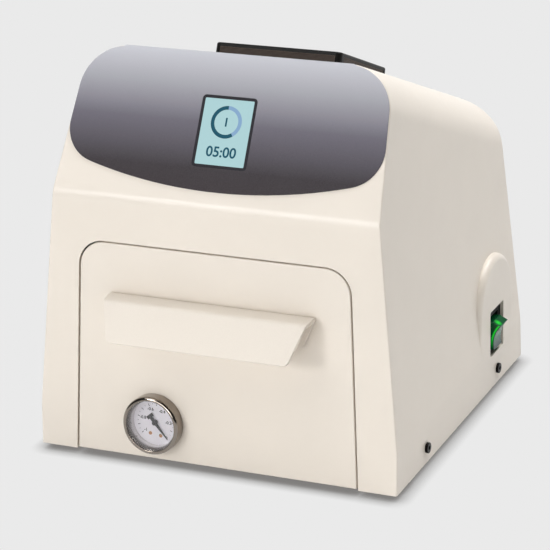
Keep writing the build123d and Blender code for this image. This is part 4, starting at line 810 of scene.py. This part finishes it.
class CURING_OT_housing(bpy.types.Operator):
    """Make the moulded housing and the drawer front, with eased edges at every opening"""

    bl_idname = "curing_unit.housing"
    bl_label = "Housing"

    # the sheet's outer side from the foot of its leg to its lip: half width, Y, Z
    handle_line = [
        (70.26 * mm, -125.394 * mm, 106.1 * mm),
        (79.5 * mm, -124.04 * mm, 130.1 * mm),
        (78.2 * mm, -140.84 * mm, 129.1 * mm),
        (69.4 * mm, -157.44 * mm, 103.6 * mm),
    ]
    handle_sheet = 3.0 * mm
    handle_corner = 3.5 * mm
    handle_bends = (4.2 * mm, 1.9 * mm)
    handle_edge = 0.45 * mm
    handle_hole = (56.0 * mm, -124.83 * mm, 116.1 * mm)
    handle_hole_radius = 2.1 * mm
    drill_depth = 12 * mm
    drill_sides = 32
    screw_edge = 0.25 * mm
    foot_edge = 0.5 * mm
    near_point = 0.1 * mm

    def bracket(self):
        """The handle: a folded sheet with crisp bends that narrows towards its lip."""
        piece = added("handle", bpy.ops.mesh.primitive_plane_add, size=2)
        piece.data.name = piece.name
        foot, root, fold, lip = self.handle_line
        edit(piece)
        for side, (half, y, z) in ((-1, foot), (1, root)):
            choose(piece, "VERT", lambda point: point.co.y * side > 0)
            bpy.ops.transform.resize(value=(half, 1, 1), center_override=(0, 0, 0))
            bpy.ops.transform.translate(value=(0, y - side, z))
        half, y, z = root
        for next_half, next_y, next_z in (fold, lip):
            pull((0, next_y - y, next_z - z), (next_half / half, 1, 1), (0, 0, 0))
            half, y, z = next_half, next_y, next_z
        bpy.ops.mesh.bevel(offset=self.handle_corner, segments=6, affect="VERTICES")
        for reach, (half, y, z) in zip(self.handle_bends, (root, fold)):
            bend = Vector((y, z))
            choose(piece, "VERT", lambda point: (point.co.yz - bend).length < self.near_point)
            bpy.ops.mesh.bevel(offset=reach, segments=6, affect="EDGES")
        leave()
        thicken = piece.modifiers.new("sheet", "SOLIDIFY")
        thicken.thickness = self.handle_sheet
        thicken.offset = self.handle_side(piece)
        thicken.use_even_offset = True
        apply_modifiers(piece)
        edit(piece)
        face_outward()
        self.drill(piece)
        round_edges(piece, self.handle_edge, 3, 40.0)
        smooth(piece, 40)
        seat(piece, "drawer", slots["drawer_handle"], slots["drawer_handle"], "drawer_handle")

    def drill(self, piece):
        """The handle's two screw holes."""
        across, y, z = self.handle_hole
        for side in (-1, 1):
            rod = added(
                "drill",
                bpy.ops.mesh.primitive_cylinder_add,
                vertices=self.drill_sides,
                radius=self.handle_hole_radius,
                depth=self.drill_depth,
                location=(side * across, y, z),
                rotation=(math.pi / 2 - front_lean, 0, 0),
            )
            hole = piece.modifiers.new("screw hole", "BOOLEAN")
            hole.operation = "DIFFERENCE"
            hole.solver = "EXACT"
            hole.object = rod
            apply_modifiers(piece)
            bpy.data.objects.remove(rod)

    def handle_side(self, piece):
        """Which side of the sheet its thickness grows on: the one turned to the drawer front."""
        lip = min(piece.data.polygons, key=lambda face: face.center.y)
        return -1 if lip.normal.y < 0 else 1

    def execute(self, context):
        look = settings().housing
        redone("housing_shell", "housing", look.edge)
        redone("drawer_front", "drawer_face", look.edge)
        self.bracket()
        redone("housing_screws", "side_screws", self.screw_edge)
        redone("rubber_feet", "feet", self.foot_edge)
        return {"FINISHED"}


class CURING_OT_console(bpy.types.Operator):
    """Make the graded film, the display's dark border and a plain countdown on the screen"""

    bl_idname = "curing_unit.console"
    bl_label = "Console"

    film_edge = 0.12 * mm
    lap_band = 0.3 * mm
    lap_reach = 0.8 * mm
    border = (42.0 * mm, 52.3 * mm)
    border_corner = 3.0 * mm
    border_edge = 0.1 * mm
    picture = (37.5 * mm, 49.4 * mm)
    picture_corner = 0.9 * mm
    picture_overlap = 0.1 * mm
    picture_sink = 0.12 * mm
    print_height = 0.05 * mm
    ring_radius = 10.4 * mm
    ring_width = 2.7 * mm
    ring_centre = 7.4 * mm
    time_left = 215.0
    hand_size = (1.2 * mm, 6.4 * mm)
    digits_height = 10.4 * mm
    digits_centre = -14.6 * mm
    digits_weight = 0.02

    def execute(self, context):
        self.lap(redone("console_overlay", "console_film", self.film_edge))
        self.border_ring()
        self.screen()
        self.countdown()
        return {"FINISHED"}

    def lap(self, piece):
        """Carry the film's straight upper edge up to the ridge."""
        up = console_place.to_3x3() @ Vector((0, 1, 0))
        top = max(up.dot(vertex.co) for vertex in piece.data.vertices)
        edit(piece)
        choose(piece, "VERT", lambda point: up.dot(point.co) > top - self.lap_band)
        bpy.ops.transform.translate(value=up * self.lap_reach)
        leave()

    def border_ring(self):
        """The window's printed border, as thick as the window."""
        ring = plate("screen_border", self.border, self.border_corner, window_thickness)
        edit(ring)
        choose(ring, "FACE", lambda face: abs(face.normal.z) > level_share)
        bpy.ops.mesh.inset(thickness=(self.border[0] - self.picture[0]) / 2)
        bpy.ops.mesh.delete(type="FACE")
        bpy.ops.mesh.select_all(action="DESELECT")
        bpy.ops.mesh.select_mode(type="EDGE")
        bpy.ops.mesh.select_non_manifold()
        bpy.ops.mesh.bridge_edge_loops()
        face_outward()
        round_edges(ring, self.border_edge)
        smooth(ring)
        place(ring, console_place @ Matrix.Translation((0, 0, -window_thickness)))
        seat(ring, "unit", "black_plastic", "screen_border", "display_window")

    def screen(self):
        """The lit picture, just below the border's face."""
        size = [side + 2 * self.picture_overlap for side in self.picture]
        screen = plate("screen", size, self.picture_corner, window_thickness - self.picture_sink)
        place(screen, console_place @ Matrix.Translation((0, 0, -window_thickness)))
        seat(screen, "unit", "lit_panel", "lit_panel")

    def countdown(self):
        """A time ring and the minutes left, in plain figures."""
        inner, outer = self.ring_radius - self.ring_width / 2, self.ring_radius + self.ring_width / 2
        top = 90
        now = top - 360 + self.time_left
        track = band("time_track", inner, outer, self.print_height, now, top)
        done = band("time_done", inner, outer, self.print_height, top - 360, now)
        hand = bar("hand", *self.hand_size, self.print_height)
        face = console_place @ Matrix.Translation((0, 0, -self.picture_sink))
        ring_place = face @ Matrix.Translation((0, self.ring_centre, 0))
        shown = join("time_done", [done, hand])
        for piece, finish in ((track, "screen_ring"), (shown, "screen_marks")):
            place(piece, ring_place)
            seat(piece, "unit", "lit_panel", finish)
        centre, size, weight = (0, self.digits_centre), self.digits_height, self.digits_weight
        digits = lettering("time_digits", "05:00", size, centre, self.print_height, weight)
        place(digits, face)
        seat(digits, "unit", "lit_panel", "screen_marks")


class CURING_OT_gauge(bpy.types.Operator):
    """Make the vacuum gauge: its rolled bezel, its scale and its pointer"""

    bl_idname = "curing_unit.gauge"
    bl_label = "Gauge"

    radius = 22.0 * mm
    proud = 10.2 * mm
    foot_ease = 0.3 * mm
    roll = 2.2 * mm
    lip = 0.55 * mm
    opening = 19.0 * mm
    back_bore = 20.5 * mm
    step = 9.35 * mm
    dial_top = -0.3 * mm
    ink_height = 0.06 * mm
    zero = -50.0
    tick_turn = 27.0
    tick_count = 11
    tick_radius = 13.6 * mm
    tick_size = (1.9 * mm, 0.45 * mm)
    half_tick_size = (1.0 * mm, 0.22 * mm)
    number_radius = 10.3 * mm
    number_size = 3.3 * mm
    number_weight = 0.025
    zero_shift = Vector((-3.1 * mm, -1.9 * mm))
    dots = ((-4.3 * mm, -8.9 * mm), (3.9 * mm, -10.0 * mm))
    dot_radius = 1.35 * mm
    dot_sides = 24
    dial_edge = 17.4 * mm
    spacer_radius = 19.5 * mm
    spacer_round = 1.0 * mm
    spacer_top = 7.7 * mm
    hand_breadth = 1.35
    hand_edge = 0.12 * mm
    cup_edge = 0.1 * mm
    glass_edge = 0.15 * mm
    ring_sides = 128
    ring_crease = 50

    def execute(self, context):
        self.bezel()
        self.scale()
        self.pointer()
        redone("gauge_case", "gauge_cup", self.cup_edge)
        redone("gauge_glass", "gauge_lens", self.glass_edge)
        self.spacer()
        return {"FINISHED"}

    def bezel(self):
        """The polished ring: one full roll outside, and a small lip that turns down to the glass."""
        foot, crown = self.radius - self.foot_ease, self.opening + self.lip
        rings = [(self.back_bore, 0.0), (foot, 0.0), (self.radius, self.foot_ease)]
        for sine, cosine in quarter(12):
            height = self.proud - self.roll * (1 - sine)
            rings.append((crown + (self.radius - crown) * cosine, height))
        for sine, cosine in quarter(4)[1:]:
            rings.append((crown - self.lip * sine, self.proud - self.lip * (1 - cosine)))
        rings += [(self.opening, self.step), (self.back_bore, self.step), rings[0]]
        self.ring("bezel", rings, "polished_steel", "gauge_bezel")

    def spacer(self):
        """The ring between the dial and the glass, whose bore rounds out towards the glass."""
        inner, outer, top = self.dial_edge, self.opening, self.spacer_top
        rings = [(self.spacer_radius, self.dial_top), (inner, self.dial_top)]
        for sine, cosine in quarter(12):
            height = self.spacer_round + (top - self.spacer_round) * sine
            rings.append((outer - (outer - inner) * cosine, height))
        rings += [(self.spacer_radius, top), rings[0]]
        # its finish paints shade on the bore: light at the dial, dark under the glass
        self.ring("spacer_ring", rings, "gauge_wall_painted_shade", "gauge_ring")

    def ring(self, name, rings, finish, node):
        """A steel ring of the gauge, turned from its section."""
        piece = turned(name, rings, self.ring_sides)
        smooth(piece, self.ring_crease)
        place(piece, gauge_place)
        seat(piece, "drawer", "polished_steel", finish, node)

    def pointer(self):
        """The hand, a little broader than it is cut, with eased edges."""
        hand = redone("gauge_pointer", "pointer_hand", self.hand_edge)
        edit(hand)
        bpy.ops.transform.resize(
            value=(self.hand_breadth, 1, 1),
            orient_type="GLOBAL",
            orient_matrix=self.hand_axes(),
            orient_matrix_type="GLOBAL",
            center_override=gauge_place.translation,
        )
        leave()

    def hand_axes(self):
        """Across the hand, along it and out of the dial, at rest."""
        turn = Matrix.Rotation(math.radians(self.zero - 90), 4, "Z")
        axes = (gauge_place @ turn).to_3x3().transposed()
        return [tuple(axis) for axis in axes]

    def scale(self):
        """Ticks and plain numbers, from 0 at the lower right round to -1."""
        ink, dots = [], []
        for k in range(2 * self.tick_count - 1):
            turn = math.radians(self.zero + k * self.tick_turn / 2)
            wide, high = self.half_tick_size if k % 2 else self.tick_size
            reach = self.tick_radius + (self.tick_size[0] - wide) / 2
            ink.append(bar("tick", wide, high, self.ink_height, reach, turn))
        for k in range(0, self.tick_count, 2):
            turn = math.radians(self.zero + k * self.tick_turn)
            centre = self.number_radius * Vector((math.cos(turn), math.sin(turn)))
            text = f"-{k / 10:g}"
            if k == 0:
                text, centre = "0", centre + self.zero_shift
            size, weight = self.number_size, self.number_weight
            ink.append(lettering("number", text, size, centre, self.ink_height, weight))
        for spot in self.dots:
            dot = added(
                "dot",
                bpy.ops.mesh.primitive_cylinder_add,
                vertices=self.dot_sides,
                radius=self.dot_radius,
                depth=self.ink_height,
                location=(*spot, 0),
            )
            bpy.ops.object.transform_apply(location=True)
            dots.append(dot)
        face = gauge_place @ Matrix.Translation((0, 0, self.dial_top))
        prints = (("dial_print", ink, "dial_ink"), ("dial_dots", dots, "dial_dots"))
        for name, parts, finish in prints:
            piece = join(name, parts)
            place(piece, face)
            seat(piece, "drawer", "dial_white", finish)


class CURING_OT_fan(bpy.types.Operator):
    """Make the fan's guard and base, with eased slots"""

    bl_idname = "curing_unit.fan"
    bl_label = "Fan and guard"

    recess = (98.0 * mm, 98.6 * mm)
    recess_sill = 1.5 * mm
    recess_height = 9.9 * mm
    panel_sizes = ((91.0 * mm, 9.5 * mm), (85.6 * mm, 9.5 * mm))
    panel_corner = 0.8 * mm
    panel_thickness = 0.7 * mm
    panel_hem = 0.6 * mm
    panel_step = (0.15 * mm, -0.2 * mm)
    panel_edge = 0.1 * mm
    guard_edge = 0.3 * mm
    blade_edge = 0.2 * mm
    frame_edge = 0.3 * mm

    def execute(self, context):
        redone("fan_guard", "guard", self.guard_edge)
        self.panels()
        redone("fan_impeller", "fan_blades", self.blade_edge, 2, 40)
        redone("fan_frame", "fan_body", self.frame_edge)
        return {"FINISHED"}

    def panels(self):
        """The meshed panels sunk in the guard's four walls, each with a thin hem."""
        made = []
        step_in, step_down = self.panel_step
        quarter_turn = math.radians(90)
        for k in range(4):
            size = self.panel_sizes[k % 2]
            piece = plate("guard_panel", size, self.panel_corner, self.panel_thickness)
            edit(piece)
            choose(piece, "FACE", lambda face: face.normal.z > level_share)
            bpy.ops.mesh.inset(thickness=self.panel_hem)
            bpy.ops.mesh.inset(thickness=step_in, depth=step_down)
            leave()
            round_edges(piece, self.panel_edge, 2, 40)
            centre = (0, -self.recess[(k + 1) % 2] / 2, self.recess_sill + self.recess_height / 2)
            upright = Matrix.Translation(centre) @ Matrix.Rotation(quarter_turn, 4, "X")
            place(piece, fan_place @ Matrix.Rotation(quarter_turn * k, 4, "Z") @ upright)
            made.append(piece)
        panels = join("guard_panels", made)
        smooth(panels)
        seat(panels, "unit", "black_plastic", "guard_mesh")


class CURING_OT_switch(bpy.types.Operator):
    """Make the lit rocker switch and the mains inlet"""

    bl_idname = "curing_unit.switch"
    bl_label = "Switch and inlet"

    frame_edge = 0.3 * mm
    rocker_edge = 0.45 * mm
    inlet_edge = 0.3 * mm

    def execute(self, context):
        redone("switch_frame", "switch_body", self.frame_edge, finish="switch_black")
        redone("switch_rocker", "rocker_key", self.rocker_edge, 3)
        redone("mains_inlet", "inlet", self.inlet_edge)
        return {"FINISHED"}


class CURING_OT_drawer(bpy.types.Operator):
    """Make the tray, the chamber and the slides, with eased folds"""

    bl_idname = "curing_unit.drawer"
    bl_label = "Drawer and chamber"

    fold_edge = 0.2 * mm

    def execute(self, context):
        for node, name in (
            ("drawer_tray", "tray"),
            ("specimen_plate", "specimen_mirror"),
            ("chamber_box", "chamber"),
            ("slide_outer_channels", "slide_outer"),
            ("slide_inner_channels", "slide_inner"),
            ("slide_middle_channels", "slide_middles"),
        ):
            redone(node, name, self.fold_edge)
        return {"FINISHED"}


class CURING_OT_studio(bpy.types.Operator):
    """Make the floor, the lamps and the camera"""

    bl_idname = "curing_unit.studio"
    bl_label = "Studio"

    target = Vector((-0.00064, -0.0111, 0.11227))
    lens = 162.3
    sensor = 36.0
    clip_end = 50.0
    floor_size = 12.0
    floor_shades = ("#e8e8e8", "#ececec")
    floor_blotch = 0.4
    shadow_reach = 12 * mm
    shadow_shade = "#807e7c"
    shadow_depth = 0.35
    backdrop_y = (0.0, 0.6)
    backdrop_z = (0.42, 0.2)
    lamps = (
        # name, place, size, power
        ("key", (-1.15, -2.7, 1.07), 0.7, 20.5),
        ("front", (-0.35, -3.0, 0.7), 1.3, 16.5),
        ("front low", (0.15, -3.0, 0.3), 0.8, 9.5),
        ("front high", (-1.2, -1.7, 2.6), 1.8, 21.0),
        ("behind", (0.3, 0.9, 1.8), 1.6, 35.0),
        ("behind high", (0.8, 0.3, 2.6), 1.2, 22.0),
    )

    def execute(self, context):
        self.floor()
        self.room()
        self.light()
        self.camera()
        return {"FINISHED"}

    def floor(self):
        """A wide pale floor that shows the background's colour and keeps the object's shadow."""
        ground = added("floor", bpy.ops.mesh.primitive_plane_add, size=self.floor_size)
        finish = Finish("pale floor", Roughness=0.9)
        dark, light = map(shade, self.floor_shades)
        finish.link(finish.blend(finish.noise(self.floor_blotch), dark, light), "Base Color")
        reach = {"Distance": self.shadow_reach, "Color": (1, 1, 1, 1)}
        near = finish.node("AmbientOcclusion", reach, samples=16).outputs["AO"]
        background = tuple(settings().studio.background)
        shadow = finish.ramp(near, [(self.shadow_depth, shade(self.shadow_shade)), (1.0, background)])
        shown = finish.node("Emission", {"Color": shadow, "Strength": 1.0})
        path = finish.node("LightPath").outputs
        seen = finish.combine("MAXIMUM", path["Is Camera Ray"], path["Is Glossy Ray"])
        seen = finish.combine("MAXIMUM", seen, path["Is Transmission Ray"])
        mix = finish.node("MixShader", {0: seen, 1: finish.shader.outputs[0], 2: shown.outputs[0]})
        finish.tree.links.new(mix.outputs[0], finish.output.inputs["Surface"])
        ground.data.materials.append(finish.material)

    def room(self):
        """A dim room, with a pale backdrop behind the bench that the camera and glossy faces see."""
        look = settings().studio
        world = bpy.data.worlds.new("studio")
        world.use_nodes = True
        room = Nodes(world.node_tree)
        dim = room.tree.nodes["Background"]
        dim.inputs["Color"].default_value = (1, 1, 1, 1)
        dim.inputs["Strength"].default_value = look.room
        pale = room.node("Background", {"Color": tuple(look.background)})
        path = room.node("LightPath").outputs
        way = room.node("SeparateXYZ", {0: room.node("TexCoord").outputs["Generated"]}).outputs
        behind = room.between(way["Y"], 0, 1, *self.backdrop_y)
        card = room.combine("MULTIPLY", room.between(way["Z"], 0, 1, *self.backdrop_z), behind)
        reflected = room.combine("MULTIPLY", path["Is Glossy Ray"], card)
        direct = room.combine("MAXIMUM", path["Is Camera Ray"], path["Is Transmission Ray"])
        seen = room.combine("MAXIMUM", reflected, direct)
        mix = room.node("MixShader", {0: seen, 1: dim.outputs[0], 2: pale.outputs[0]})
        room.tree.links.new(mix.outputs[0], room.tree.nodes["World Output"].inputs["Surface"])
        bpy.context.scene.world = world

    def light(self):
        """Soft round lamps, each aimed at the object."""
        for name, where, size, power in self.lamps:
            data = bpy.data.lights.new(name, "AREA")
            data.shape = "DISK"
            data.size = size
            data.energy = power
            lamp = linked(name, data)
            lamp.location = where
            lamp.rotation_euler = (self.target - Vector(where)).to_track_quat("-Z", "Y").to_euler()

    def camera(self):
        """The camera, turned about the point that it looks at."""
        look = settings().studio
        data = bpy.data.cameras.new("camera")
        data.lens = self.lens
        data.sensor_width = self.sensor
        data.clip_end = self.clip_end
        camera = linked("camera", data)
        azimuth, elevation, roll = look.azimuth, look.elevation, look.roll
        ahead = Vector((math.sin(azimuth), -math.cos(azimuth), 0))
        back = ahead * math.cos(elevation) + Vector((0, 0, math.sin(elevation)))
        level = Vector((math.cos(azimuth), math.sin(azimuth), 0))
        side = level * math.cos(roll) + back.cross(level) * math.sin(roll)
        turn = Matrix((side, back.cross(side), back)).transposed().to_4x4()
        camera.matrix_world = Matrix.Translation(self.target + back * look.distance) @ turn
        bpy.context.scene.camera = camera
        bpy.context.scene.view_settings.view_transform = "Standard"


operators = (
    CURING_OT_finishes,
    CURING_OT_housing,
    CURING_OT_console,
    CURING_OT_gauge,
    CURING_OT_fan,
    CURING_OT_switch,
    CURING_OT_drawer,
    CURING_OT_studio,
)


class CURING_PT_panel(bpy.types.Panel):
    """The unit's settings and steps"""

    bl_idname = "CURING_PT_panel"
    bl_label = "Light Curing Unit"
    bl_space_type = "VIEW_3D"
    bl_region_type = "UI"
    bl_category = "Curing Unit"

    def draw(self, context):
        for step in operators:
            self.layout.operator(step.bl_idname)
        for part in CuringUnitSettings.__annotations__:
            group = getattr(settings(), part)
            box = self.layout.box()
            box.label(text=type(group).__doc__)
            for name in type(group).__annotations__:
                box.prop(group, name)


groups = (
    HousingSettings,
    ConsoleSettings,
    GaugeSettings,
    SwitchSettings,
    StudioSettings,
    CuringUnitSettings,
)
classes = (*groups, *operators, CURING_PT_panel)


def register():
    """Add the settings, the operators and the panel."""
    for item in classes:
        bpy.utils.register_class(item)
    bpy.types.Scene.curing_unit = bpy.props.PointerProperty(type=CuringUnitSettings)


def unregister():
    """Take them away again."""
    del bpy.types.Scene.curing_unit
    for item in reversed(classes):
        bpy.utils.unregister_class(item)


def main():
    """Make every piece in order."""
    register()
    for step in operators:
        group, name = step.bl_idname.split(".")
        getattr(getattr(bpy.ops, group), name)()


if __name__ == "__main__":
    main()
